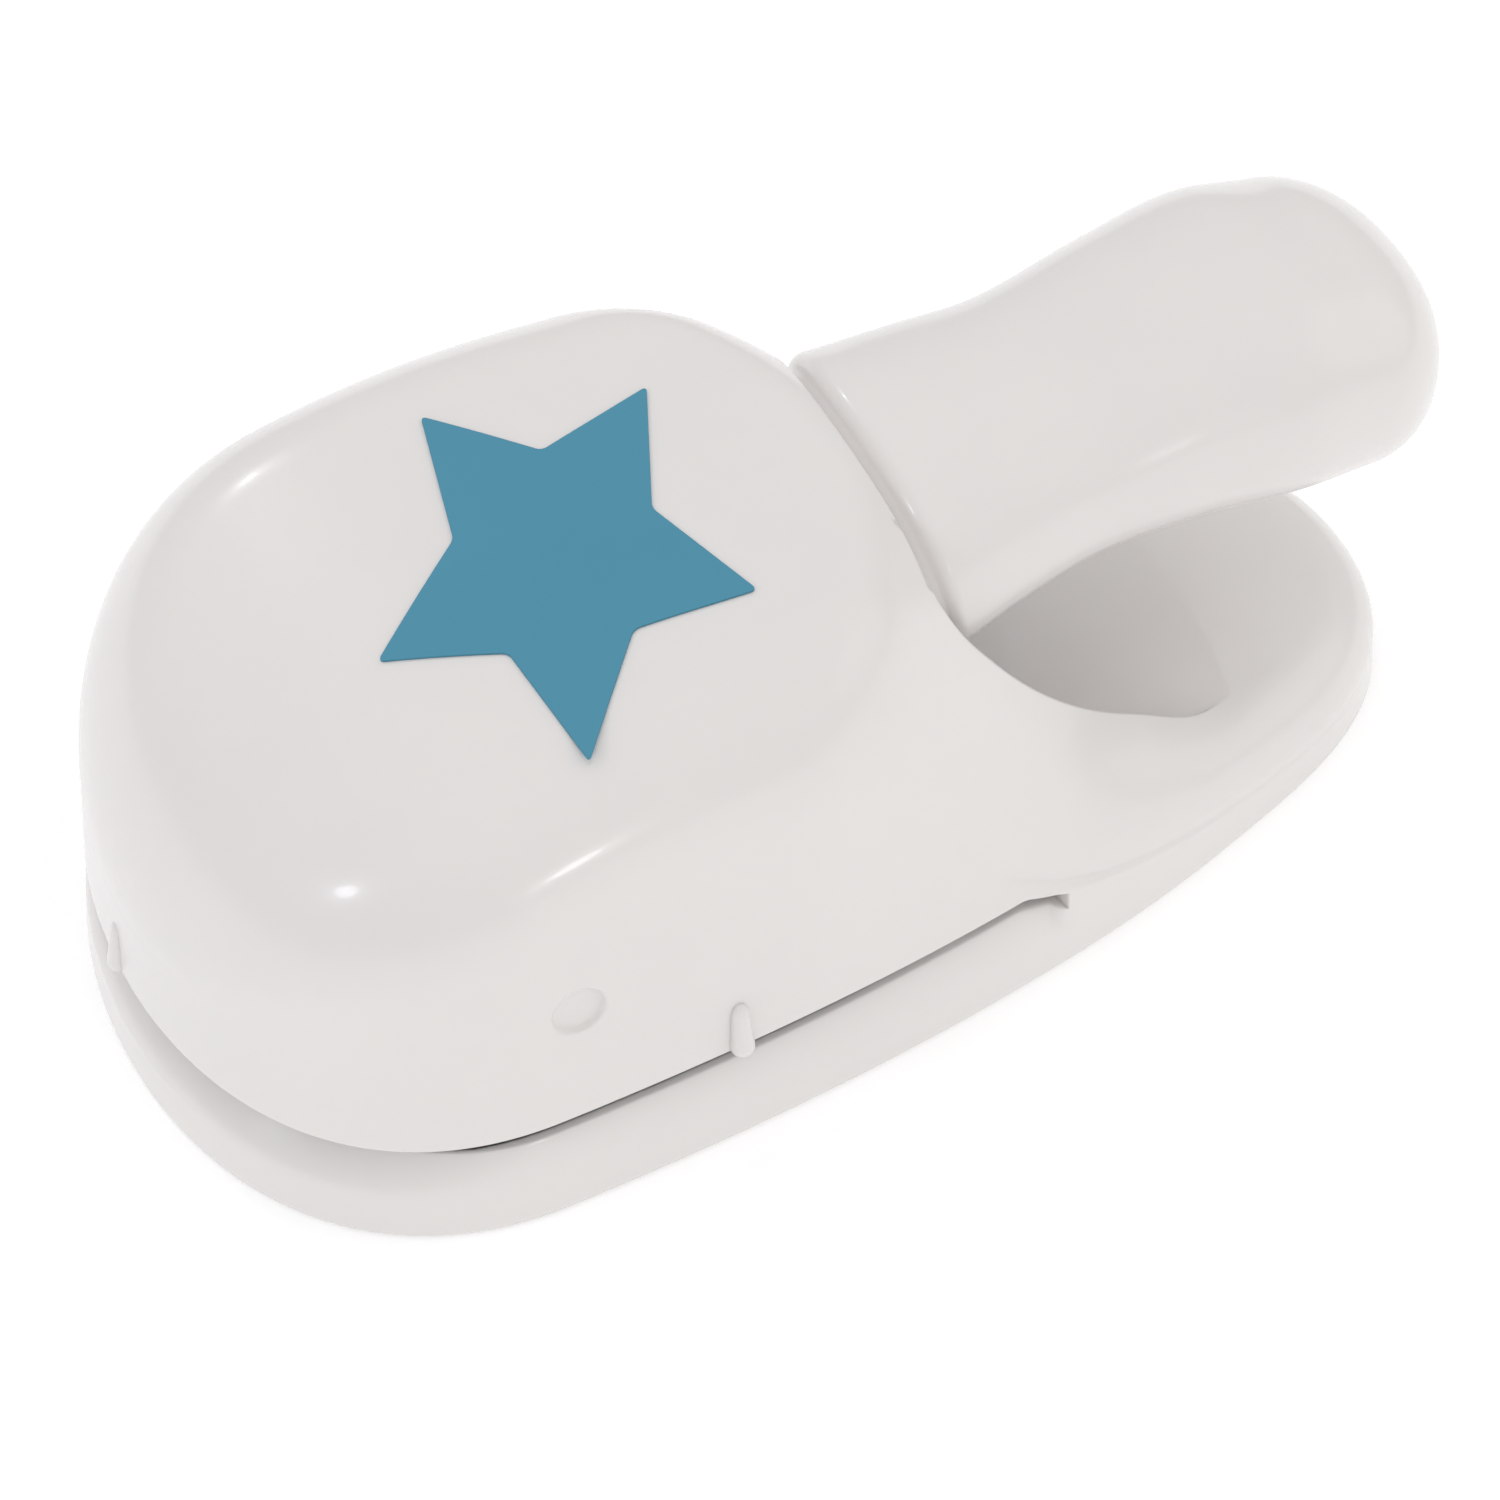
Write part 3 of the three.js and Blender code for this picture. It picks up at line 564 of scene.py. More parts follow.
def new_group(name: str, inputs: Sequence[tuple[str, str, float]], outputs: Sequence[tuple[str, str]]):
    """Starts a shader node group.

    Args:
        name: The group's name.
        inputs: (name, socket type, default) of each input.
        outputs: (name, socket type) of each output.

    Returns:
        The group, its input node and its output node.
    """
    group = bpy.data.node_groups.new(name, "ShaderNodeTree")
    for label, kind, default in inputs:
        socket = group.interface.new_socket(label, in_out="INPUT", socket_type=kind)
        if kind == "NodeSocketFloat":
            socket.default_value = default
    for label, kind in outputs:
        group.interface.new_socket(label, in_out="OUTPUT", socket_type=kind)
    return group, group.nodes.new("NodeGroupInput"), group.nodes.new("NodeGroupOutput")


def node(tree: bpy.types.NodeTree, kind: str, links: Optional[dict] = None, **settings) -> bpy.types.Node:
    """Adds a shader node.

    Args:
        tree: The tree that it goes into.
        kind: The node's type, without the ShaderNode in front.
        links: For each input, by name or number, the output or the value that it takes.
        settings: The node's own settings.

    Returns:
        The new node.
    """
    made = tree.nodes.new("ShaderNode" + kind)
    for key, value in settings.items():
        setattr(made, key, value)
    feed(tree, made, links or {})
    return made


def feed(tree: bpy.types.NodeTree, made: bpy.types.Node, links: dict) -> None:
    """Gives inputs of a shader node, by name or number, an output or a value."""
    for key, value in links.items():
        if isinstance(value, bpy.types.NodeSocket):
            tree.links.new(value, made.inputs[key])
        else:
            made.inputs[key].default_value = value


def blend(
    tree: bpy.types.NodeTree, share: bpy.types.NodeSocket, first: Colour, second: Colour
) -> bpy.types.NodeSocket:
    """A colour that goes from the first to the second as the share goes from 0 to 1."""
    mix = node(tree, "Mix", {0: share, 6: (*first, 1), 7: (*second, 1)}, data_type="RGBA")
    return mix.outputs[2]


def noise(
    tree: bpy.types.NodeTree,
    spot: bpy.types.NodeSocket,
    scale: Union[bpy.types.NodeSocket, float],
    detail: float,
) -> bpy.types.NodeSocket:
    """A noise of a scale and detail at a spot."""
    made = node(tree, "TexNoise", {"Vector": spot, "Scale": scale, "Detail": detail})
    return made.outputs["Fac"]


class SurfaceEffects:
    """Shader groups that several finishes share."""

    def __init__(self) -> None:
        """Builds every group once."""
        self.cloud = self._cloud()
        self.grain = self._grain()

    @staticmethod
    def _cloud() -> bpy.types.NodeTree:
        """Slow uneven patches, such as handling leaves on a moulding."""
        group, start, end = new_group(
            "handled_patches",
            (
                ("Vector", "NodeSocketVector", 0),
                ("Patches", "NodeSocketFloat", 40),
                ("Streaks", "NodeSocketFloat", 160),
            ),
            (("Mask", "NodeSocketFloat"),),
        )
        spot, patches, streaks = start.outputs[:3]
        large = noise(group, spot, patches, 1.0)
        small = noise(group, spot, streaks, 1.0)
        most = node(group, "Math", {0: large, 1: 0.75}, operation="MULTIPLY")
        both = node(group, "Math", {0: small, 1: 0.25, 2: most.outputs[0]}, operation="MULTIPLY_ADD")
        spread = node(
            group,
            "MapRange",
            {"Value": both.outputs[0], "From Min": 0.2, "From Max": 0.8},
            interpolation_type="SMOOTHSTEP",
        )
        group.links.new(spread.outputs["Result"], end.inputs[0])
        return group

    @staticmethod
    def _grain() -> bpy.types.NodeTree:
        """Fine skin of a moulding: soft orange peel with a finer grain over it."""
        group, start, end = new_group(
            "moulded_grain",
            (
                ("Vector", "NodeSocketVector", 0),
                ("Peel", "NodeSocketFloat", 500),
                ("Grain", "NodeSocketFloat", 2600),
            ),
            (("Height", "NodeSocketFloat"),),
        )
        spot, peel_scale, grain_scale = start.outputs[:3]
        peel = noise(group, spot, peel_scale, 1.0)
        grain = noise(group, spot, grain_scale, 3.0)
        share = node(group, "Math", {0: grain, 1: 0.25, 2: peel}, operation="MULTIPLY_ADD")
        group.links.new(share.outputs[0], end.inputs[0])
        return group


@dataclass(frozen=True)
class PlasticFinish:
    """Moulded plastic with an uneven skin and lightly softened edges."""

    name: str
    colour: Colour
    shade: Colour
    roughness: float
    rough_patch: float
    peel: float
    coat: float = 0.0
    subsurface: float = 0.0
    edge: float = 0.35
    specular: float = 0.5

    def make(self, effects: SurfaceEffects) -> bpy.types.Material:
        """Builds the material."""
        material, tree, shader = blank_material(self.name)
        spot = node(tree, "TexCoord").outputs["Object"]
        patches = group_node(tree, effects.cloud, spot, (38.0, 170.0))
        grain = group_node(tree, effects.grain, spot, (330.0, 2400.0))
        tint = blend(tree, patches, self.colour, self.shade)
        rough = node(
            tree,
            "MapRange",
            {"Value": patches, "To Min": self.roughness, "To Max": self.roughness + self.rough_patch},
        )
        soft = node(tree, "Bevel", {"Radius": self.edge * MM}, samples=6)
        bump = node(
            tree,
            "Bump",
            {"Height": grain, "Normal": soft.outputs[0], "Strength": 1.0, "Distance": self.peel * MM},
        )
        feed(
            tree,
            shader,
            {
                "Base Color": tint,
                "Roughness": rough.outputs["Result"],
                "Normal": bump.outputs["Normal"],
                "Coat Weight": self.coat,
                "Coat Roughness": 0.06,
                "Subsurface Weight": self.subsurface,
                "Subsurface Radius": (0.9, 0.8, 0.6),
                "Subsurface Scale": 2.0 * MM,
                "Specular IOR Level": self.specular,
            },
        )
        return material


@dataclass(frozen=True)
class SteelFinish:
    """Ground or drawn steel, with fine lines along one direction."""

    name: str
    colour: Colour
    dull: Colour
    roughness: float
    lines: Colour
    depth: float

    def make(self, effects: SurfaceEffects) -> bpy.types.Material:
        """Builds the material."""
        material, tree, shader = blank_material(self.name)
        spot = node(tree, "TexCoord").outputs["Object"]
        drawn = node(tree, "Mapping", {"Vector": spot, "Scale": self.lines})
        lines = noise(tree, drawn.outputs[0], 1.0, 4.0)
        patches = group_node(tree, effects.cloud, spot, (90.0, 400.0))
        tint = blend(tree, patches, self.colour, self.dull)
        rough = node(
            tree,
            "MapRange",
            {
                "Value": lines,
                "From Min": 0.3,
                "From Max": 0.7,
                "To Min": self.roughness * 0.75,
                "To Max": self.roughness * 1.35,
            },
        )
        bump = node(tree, "Bump", {"Height": lines, "Strength": 1.0, "Distance": self.depth * MM})
        feed(
            tree,
            shader,
            {
                "Base Color": tint,
                "Roughness": rough.outputs["Result"],
                "Normal": bump.outputs["Normal"],
                "Metallic": 1.0,
            },
        )
        return material


def blank_material(name: str) -> tuple[bpy.types.Material, bpy.types.NodeTree, bpy.types.Node]:
    """A new material with its node tree and its one shader node."""
    material = bpy.data.materials.new(name)
    material.use_nodes = True
    return material, material.node_tree, material.node_tree.nodes["Principled BSDF"]


def group_node(
    tree: bpy.types.NodeTree, group: bpy.types.NodeTree, spot: bpy.types.NodeSocket, values: Sequence[float]
) -> bpy.types.NodeSocket:
    """Places a shared effect in a material and gives back its output."""
    placed = tree.nodes.new("ShaderNodeGroup")
    placed.node_tree = group
    tree.links.new(spot, placed.inputs[0])
    for number, value in enumerate(values, start=1):
        placed.inputs[number].default_value = value
    return placed.outputs[0]


class FinishSet:
    """Every finish of the punch."""

    def __init__(self) -> None:
        """Builds the materials."""
        effects = SurfaceEffects()
        self.white = PlasticFinish(
            "white_case_plastic",
            (0.80, 0.772, 0.757),
            (0.78, 0.754, 0.744),
            roughness=0.2,
            rough_patch=0.05,
            peel=0.012,
            coat=0.25,
            subsurface=0.15,
            edge=0.45,
        ).make(effects)
        self.cover = PlasticFinish(
            "satin_cover_plastic", (0.66, 0.65, 0.63), (0.6, 0.59, 0.57), 0.42, 0.12, 0.03, edge=0.2
        ).make(effects)
        self.film = PlasticFinish(
            "blue_star_film",
            (0.067, 0.275, 0.40),
            (0.073, 0.287, 0.412),
            roughness=0.5,
            rough_patch=0.08,
            peel=0.006,
            edge=0.12,
            specular=0.3,
        ).make(effects)
        self.carrier = PlasticFinish(
            "grey_carrier_plastic", (0.27, 0.285, 0.305), (0.23, 0.24, 0.26), 0.45, 0.15, 0.03, edge=0.2
        ).make(effects)
        self.ground = SteelFinish(
            "ground_steel", (0.60, 0.61, 0.625), (0.5, 0.51, 0.53), 0.28, (120.0, 3000.0, 3000.0), 0.004
        ).make(effects)
        self.turned = SteelFinish(
            "turned_steel", (0.58, 0.59, 0.60), (0.47, 0.48, 0.5), 0.24, (2500.0, 2500.0, 120.0), 0.003
        ).make(effects)
        self.wire = SteelFinish(
            "spring_wire", (0.44, 0.45, 0.47), (0.33, 0.34, 0.36), 0.3, (900.0, 900.0, 4000.0), 0.004
        ).make(effects)


# ---------------------------------------------------------------- case


@dataclass
class Case:
    """The moulded white case, with its slot, trough, marks and recesses."""

    bench: Bench
    form: CaseForm = field(default_factory=CaseForm)
    slot: SlotForm = field(default_factory=SlotForm)
    trough: TroughForm = field(default_factory=TroughForm)
    wall: float = 2.4
    points: int = 440
    room_points: int = 160
    foot_round: float = 0.9
    ramp_rows: tuple[float, ...] = (2.2, 3.6, 5.0, 5.8, 6.3, 6.8, 7.2, 7.6, 8.0, 8.5, 9.1, 9.8, 10.4)
    room_gap: float = 0.4
    mark_width: float = 2.8
    mark_height: float = 7.0
    mark_proud: float = 1.2
    mark_sunk: float = 0.12
    die_y: float = 57.0
    pivot: Pair = (39.0, 30.0)
    dimple_radius: float = 3.0
    dimple_depth: float = 0.7
    opening_half: float = 16.5
    opening_span: Pair = (15.5, 48.0)
    opening_arch: float = 12.0
    opening_from: float = 4.0
    opening_depth: float = 14.0

    def build(self, finish: bpy.types.Material) -> bpy.types.Object:
        """Builds the case and dresses it.

        Args:
            finish: The white plastic.

        Returns:
            The finished piece.
        """
        shell = Bench.combine(self._outside(), self.trough.solid(0.0, 2.2), Join.CUT)
        shell = Bench.combine(shell, self._room(), Join.CUT)
        shell = Bench.combine(shell, self._opening(), Join.CUT)
        for cutter in self._dimples():
            shell = Bench.combine(shell, cutter, Join.CUT)
        for mark in self._marks():
            shell = Bench.combine(shell, mark, Join.ADD)
        return self.bench.finish(shell, "case_shell", Body.CASE, Slot.WHITE, finish, ["housing"], 40.0)

    def _rows(self) -> list[Callable[[Vector], Vector]]:
        """The rows of the case's outside, from the foot up to the middle of the top."""
        form, slot = self.form, self.slot
        rows: list[Callable[[Vector], Vector]] = []

        def on_wall(z: float, depth: Callable[[Vector], float]) -> Callable[[Vector], Vector]:
            """A row on the wall, or set in from it by a depth."""

            def place(edge: Vector) -> Vector:
                """Its point inside one outline point."""
                round_by, _ = form.roundings(edge, 0.0)
                height = z * form.wall_share(edge, round_by)
                return form.place(edge, form.draft * height + depth(edge), height)

            return place

        foot, top = slot.ramp_foot, slot.ramp_top

        def ramp(z: float) -> Callable[[Vector], float]:
            """How far the lip's slope is set in from the wall at a height."""

            def depth(edge: Vector) -> float:
                """Its depth at one outline point."""
                slope = slot.skirt(edge.y) * (z - foot) / (top - foot) - form.draft * z
                return slot.share(edge.y) * soft_max(0.0, slope, slot.ramp_round)

            return depth

        def ledge(extra: float) -> Callable[[Vector], float]:
            """How far the lip's upper edge is set in from the wall, plus some extra."""

            def depth(edge: Vector) -> float:
                """Its depth at one outline point."""
                slope = slot.skirt(edge.y) * (top - slot.lip_edge - foot) / (top - foot)
                return slot.share(edge.y) * (extra + slope - slot.lip_lean)

            return depth

        def rounded(base: float, radius: float, share: Callable[[float], float]) -> None:
            """Adds rows that round the lower edge of a wall that starts at a height."""
            for k in range(5):
                angle = math.pi / 2 * k / 4
                inset = radius * (1 - math.sin(angle))
                height = base + radius * (1 - math.cos(angle))
                rows.append(on_wall(height, lambda edge, inset=inset: share(edge.y) * inset))

        rounded(0.0, self.foot_round, lambda y: 1.0)
        rows += [on_wall(z, ramp(z)) for z in self.ramp_rows]
        edges = ((top - slot.lip_edge, 0.0), (top - 0.05, 0.15), (top, 0.5), (top, slot.depth))
        rows += [on_wall(z, ledge(extra)) for z, extra in edges]
        rows.append(on_wall(slot.top, lambda edge: slot.share(edge.y) * slot.depth))
        rounded(slot.top, slot.edge_round, slot.share)
        rows += self._upper_rows(0.0, slot.top + slot.edge_round, 10, 16, 26)
        return rows

    def _upper_rows(
        self, inset: float, start: float, walls: int, rounds: int, tops: int
    ) -> list[Callable[[Vector], Vector]]:
        """Rows from a height on the wall, over the rounding, to the middle of the top."""
        form = self.form
        rows: list[Callable[[Vector], Vector]] = []

        def upper(part: str, t: float) -> Callable[[Vector], Vector]:
            """One row of the wall, the rounding or the top."""

            def place(edge: Vector) -> Vector:
                """Its point inside one outline point."""
                round_by, lean = form.roundings(edge, inset)
                _, reach = form.inward(edge)
                if part == "top":
                    begin = inset + lean + round_by
                    spot = form.place(edge, begin + (reach - begin) * t, None, inset)
                    spot.z = self.trough.settle(spot.y, spot.z + inset) - inset
                    return spot
                angle = math.pi / 2 * t if part == "round" else 0.0
                along = inset + lean + round_by * (1 - math.cos(angle))
                top = form.place(edge, along, None, inset).z
                z = top - round_by + round_by * math.sin(angle)
                z = self.trough.settle(edge.y, z + inset) - inset
                if part == "wall":
                    begin = start * form.wall_share(edge, round_by)
                    z = lerp(begin, top - round_by, t)
                    along = inset + lerp(form.draft * begin, lean, t)
                return form.place(edge, along, z)

            return place

        rows += [upper("wall", k / walls) for k in range(1, walls + 1)]
        rows += [upper("round", k / rounds) for k in range(1, rounds + 1)]
        rows += [upper("top", k / tops) for k in range(1, tops + 1)]
        return rows

    def _outside(self) -> Mesh:
        """The solid outside of the case."""
        edges = self.form.outline(self.points)
        rows = self._rows()
        return Bench.loft(len(rows), len(edges), lambda row, i: rows[row](edges[i]))

    def _prism(self, low: float, high: float, inset: Callable[[Vector], float]) -> Mesh:
        """A straight prism of the outline, set in by a distance at each point."""
        edges = self.form.outline(self.room_points)
        levels = (low, high)
        return Bench.loft(
            2, len(edges), lambda row, i: self.form.place(edges[i], inset(edges[i]), levels[row])
        )

    def _room(self) -> Mesh:
        """The room inside the case: narrow below the slot, and as wide as the wall allows above."""
        edges = self.form.outline(self.room_points)
        form, slot, wall = self.form, self.slot, self.wall
        rows = [lambda edge: form.place(edge, wall, -1.0)] + self._upper_rows(wall, 0.0, 4, 8, 8)
        inner = Bench.loft(len(rows), len(edges), lambda row, i: rows[row](edges[i]))
        below = self._prism(-2.0, slot.top + 0.5, lambda edge: max(slot.skirt(edge.y) + self.room_gap, wall))
        above = Bench.block((-60, 60), (-5, 200), (slot.top, 90))
        space = Bench.combine(above, below, Join.ADD)
        inner = Bench.combine(inner, space, Join.KEEP)
        return Bench.combine(inner, self.trough.solid(wall), Join.CUT)

    def _opening(self) -> Mesh:
        """The arched opening in the rear of the head for the lever."""
        half, (low, high) = self.opening_half, self.opening_span
        start = (half, high - self.opening_arch, 0)
        arch = interpolate_bezier(start, (half, high - 3, 0), (11, high, 0), (0, high, 0), 12)
        right = [(half, low)] + [(p.x, p.y) for p in arch]
        outline = right + [(-x, y) for x, y in reversed(right[:-1])]
        behind = self.trough.front + self.opening_from
        upright = Matrix(((1, 0, 0, 0), (0, 0, -1, behind), (0, 1, 0, 0), (0, 0, 0, 1)))
        return Bench.slab(outline, Vector((0, -self.opening_depth, 0)), upright)

    def _dimples(self) -> list[Mesh]:
        """Dished cutters for the shallow recess over each end of the axle."""
        r, d = self.dimple_radius, self.dimple_depth
        profile = [(0.0, -d), (0.6 * r, -d), (0.82 * r, -0.93 * d), (0.94 * r, -0.72 * d), (r, -0.4 * d)]
        profile += [(1.03 * r, -0.15 * d), (1.1 * r, 0.0), (1.2 * r, 0.08 * d), (1.34 * r, 0.35 * d)]
        profile += [(1.34 * r, 4.0), (0.0, 4.0)]
        made = []
        for side in (-1, 1):
            bm = Bench.turned(profile, 56)
            lean = math.atan(self.form.draft)
            turn = Matrix.Rotation(side * (math.pi / 2 - lean), 4, "Y")
            y, z = self.pivot
            spot = Matrix.Translation((side * self.form.wall_face(z), y, z))
            bmesh.ops.transform(bm, matrix=spot @ turn, verts=bm.verts)
            made.append(bm)
        return made

    def _marks(self) -> list[Mesh]:
        """Three soft ribs above the slot that show the middle of the die."""
        half, height, proud = self.mark_width / 2, self.mark_height, self.mark_proud
        profile = [(0.0, 0.0), (0.72, 0.0), (0.9, 0.02), (0.98, 0.06), (1.0, 0.13), (0.96, 0.22)]
        profile += [(0.86, 0.36), (0.8, 0.55), (0.76, 0.72), (0.66, 0.86), (0.45, 0.96)]
        profile += [(0.2, 0.995), (0.0, 1.0)]
        flank = self.form.width / 2
        sides = ((-90.0, 0.0, 0.0), (0.0, flank, self.die_y), (180.0, flank, self.die_y))
        lean = Matrix(((1, 0, -self.form.draft, 0), (0, 1, 0, 0), (0, 0, 1, 0), (0, 0, 0, 1)))
        made = []
        for turn, reach, y in sides:
            bm = Bench.turned([(radius * half, rise * height) for radius, rise in profile], 32)
            spot = Matrix.Translation((0, y, 0)) @ Matrix.Rotation(math.radians(turn), 4, "Z")
            out = reach + proud - half - self.mark_sunk
            foot = Matrix.Translation((out, 0, self.slot.top + 0.05))
            base = Matrix.Translation((-self.form.draft * self.slot.top, 0, 0))
            bmesh.ops.transform(bm, matrix=spot @ base @ foot @ lean, verts=bm.verts)
            made.append(bm)
        return made


# ---------------------------------------------------------------- star film


@dataclass
class StarFilm:
    """The flat blue star on top of the head, which shows what the punch cuts."""

    bench: Bench
    form: CaseForm = field(default_factory=CaseForm)
    radius: float = 20.7
    inner: float = 0.53
    centre: Pair = (3.5, 54.0)
    stretch: float = 1.33
    stretch_angle: float = -19.0
    thickness: float = 0.22
    gap: float = 0.04
    tip_round: float = 0.7
    cell: float = 1.6
    grid_half: float = 30.0
    grid_shift: float = 0.013

    def outline(self) -> list[Pair]:
        """Corners of the star, one tip towards the nose, stretched along one direction."""
        turn = math.radians(self.stretch_angle)
        corners = []
        for i in range(10):
            a = -math.pi / 2 + i * math.pi / 5
            r = self.radius * (self.inner if i % 2 else 1.0)
            along, across = r * math.cos(a - turn) * self.stretch, r * math.sin(a - turn)
            corners.append(
                (
                    self.centre[0] + along * math.cos(turn) - across * math.sin(turn),
                    self.centre[1] + along * math.sin(turn) + across * math.cos(turn),
                )
            )
        return corners

    def build(self, finish: bpy.types.Material) -> bpy.types.Object:
        """Builds the star so that it follows the crown of the head.

        Args:
            finish: The blue film.

        Returns:
            The finished piece.
        """
        bm = bmesh.new()
        bm.faces.new([bm.verts.new((x, y, 0.0)) for x, y in self.outline()])
        bmesh.ops.bevel(
            bm,
            geom=list(bm.verts),
            offset=self.tip_round,
            affect="VERTICES",
            segments=5,
            profile=0.5,
            material=-1,
        )
        count = int(self.grid_half / self.cell)
        for normal, middle in zip((Vector((1, 0, 0)), Vector((0, 1, 0))), self.centre):
            for k in range(-count, count + 1):
                cut = normal * (middle + k * self.cell + self.grid_shift)
                everything = bm.verts[:] + bm.edges[:] + bm.faces[:]
                bmesh.ops.bisect_plane(bm, geom=everything, plane_co=cut, plane_no=normal)
        upper = bmesh.ops.extrude_face_region(bm, geom=bm.faces[:], use_keep_orig=True)
        raised = {v for v in upper["geom"] if isinstance(v, bmesh.types.BMVert)}
        for vert in bm.verts:
            lift = self.gap + (self.thickness if vert in raised else 0.0)
            vert.co.z = self.form.top(vert.co.x, vert.co.y) + lift
        bmesh.ops.recalc_face_normals(bm, faces=bm.faces)
        return self.bench.finish(bm, "star_film", Body.CASE, Slot.LABEL, finish, ["motif_label"], 50.0)


# ---------------------------------------------------------------- lever


@dataclass(frozen=True)
class HandleForm:
    """The handle's surface: an oval section that changes along its length."""

    trough: TroughForm = field(default_factory=TroughForm)
    middle: tuple[Pair, ...] = (
        (86, 41.8), (91, 43), (96, 44.1), (103, 45.4), (113, 46.6), (126, 48.3), (138, 48.5), (147, 47.4),
    )
    half_width: tuple[Pair, ...] = (
        (86, 18.4), (91, 19.9), (96, 19.2), (103, 18), (113, 16.9), (126, 17.8), (138, 19), (147, 18.4),
    )
    half_depth: tuple[Pair, ...] = (
        (86, 12.6), (91, 14.2), (96, 13.6), (103, 12.8), (113, 11.9), (126, 13.4), (138, 15), (147, 14.4),
    )
    end: Pair = (160.48, 45.8)
    power: float = 2.25
    groove: float = 1.1
    collar: float = 1.9
    lip_inset: float = 1.05
    lip_reach: float = 0.8
    lip_round: float = 0.3
    lip_blunt: float = 0.08
    collar_steps: int = 9
    end_steps: int = 14
    end_power: float = 0.85
    straight_from: float = 101.0

    def section(self, y: float, angle: float, inset: float, shrink: float = 1.0) -> Pair:
        """Point (x, z) of the section at a place and an angle, moved inwards by inset."""
        a = (smooth_through(self.half_width, y) - inset) * shrink
        c = (smooth_through(self.half_depth, y) - inset) * shrink
        co, si = math.cos(angle), math.sin(angle)
        x = math.copysign(abs(co) ** (2 / self.power), co) * a
        return x, smooth_through(self.middle, y) + math.copysign(abs(si) ** (2 / self.power), si) * c

    def root(self, z: float, margin: float) -> float:
        """Place of the handle's front face at a height."""
        return self.trough.front_at(z) + self.groove + margin

    def solid(self, inset: float, count: int, step: float) -> Mesh:
        """The handle as a solid, from its rolled collar to its rounded end.

        Args:
            inset: How far its surface moves in.
            count: Points round a section.
            step: Distance between sections.

        Returns:
            The closed solid.
        """
        start = self.trough.front + self.groove + inset
        last = self.middle[-1][0]
        lip, reach, collar = self.lip_inset, -self.lip_reach, self.collar
        rows: list[tuple[str, float, float]] = [("root", reach, 9.0), ("root", reach, 5.0)]
        rows.append(("root", reach, lip + self.lip_round))
        rows.append(("root", reach + self.lip_blunt, lip + self.lip_blunt))
        rows.append(("root", reach + self.lip_round, lip))
        rows.append(("root", 0.1, lip))
        for k in range(3, self.collar_steps + 1):
            angle = math.pi / 2 * k / self.collar_steps
            rows.append(("root", 0.2 + collar * (1 - math.cos(angle)), collar * (1 - math.sin(angle))))
        along = start + self.collar
        sections = max(2, round((last - along) / step))
        rows += [("grip", lerp(along, last, k / sections), 0.0) for k in range(1, sections + 1)]
        rows += [("end", k / self.end_steps, 0.0) for k in range(1, self.end_steps + 1)]

        def place(row: int, i: int) -> Vector:
            """Place of one vertex."""
            kind, value, extra = rows[row]
            angle = math.pi / 2 + 2 * math.pi * i / count
            if kind == "end":
                sweep = value * math.pi / 2
                shrink = max(math.cos(sweep), 0.0) ** self.end_power
                reach = math.sin(sweep)
                x, z = self.section(last, angle, inset, shrink)
                middle = self.middle[-1][1]
                y = last + (self.end[0] - inset - last) * reach
                return Vector((x, y, z + (self.end[1] - middle) * reach))
            y = value if kind == "grip" else start + value
            share = 1 - smoothstep(start, self.straight_from, y)
            _, z = self.section(y, angle, inset + extra)
            y_here = y + (self.trough.front_at(z) - self.trough.front) * share
            x, z = self.section(y_here, angle, inset + extra)
            return Vector((x, y_here, z))

        return Bench.loft(len(rows), count, place)

    def underside(self, y: float) -> float:
        """Height of the handle's underside at a place along it."""
        return smooth_through(self.middle, y) - smooth_through(self.half_depth, y)


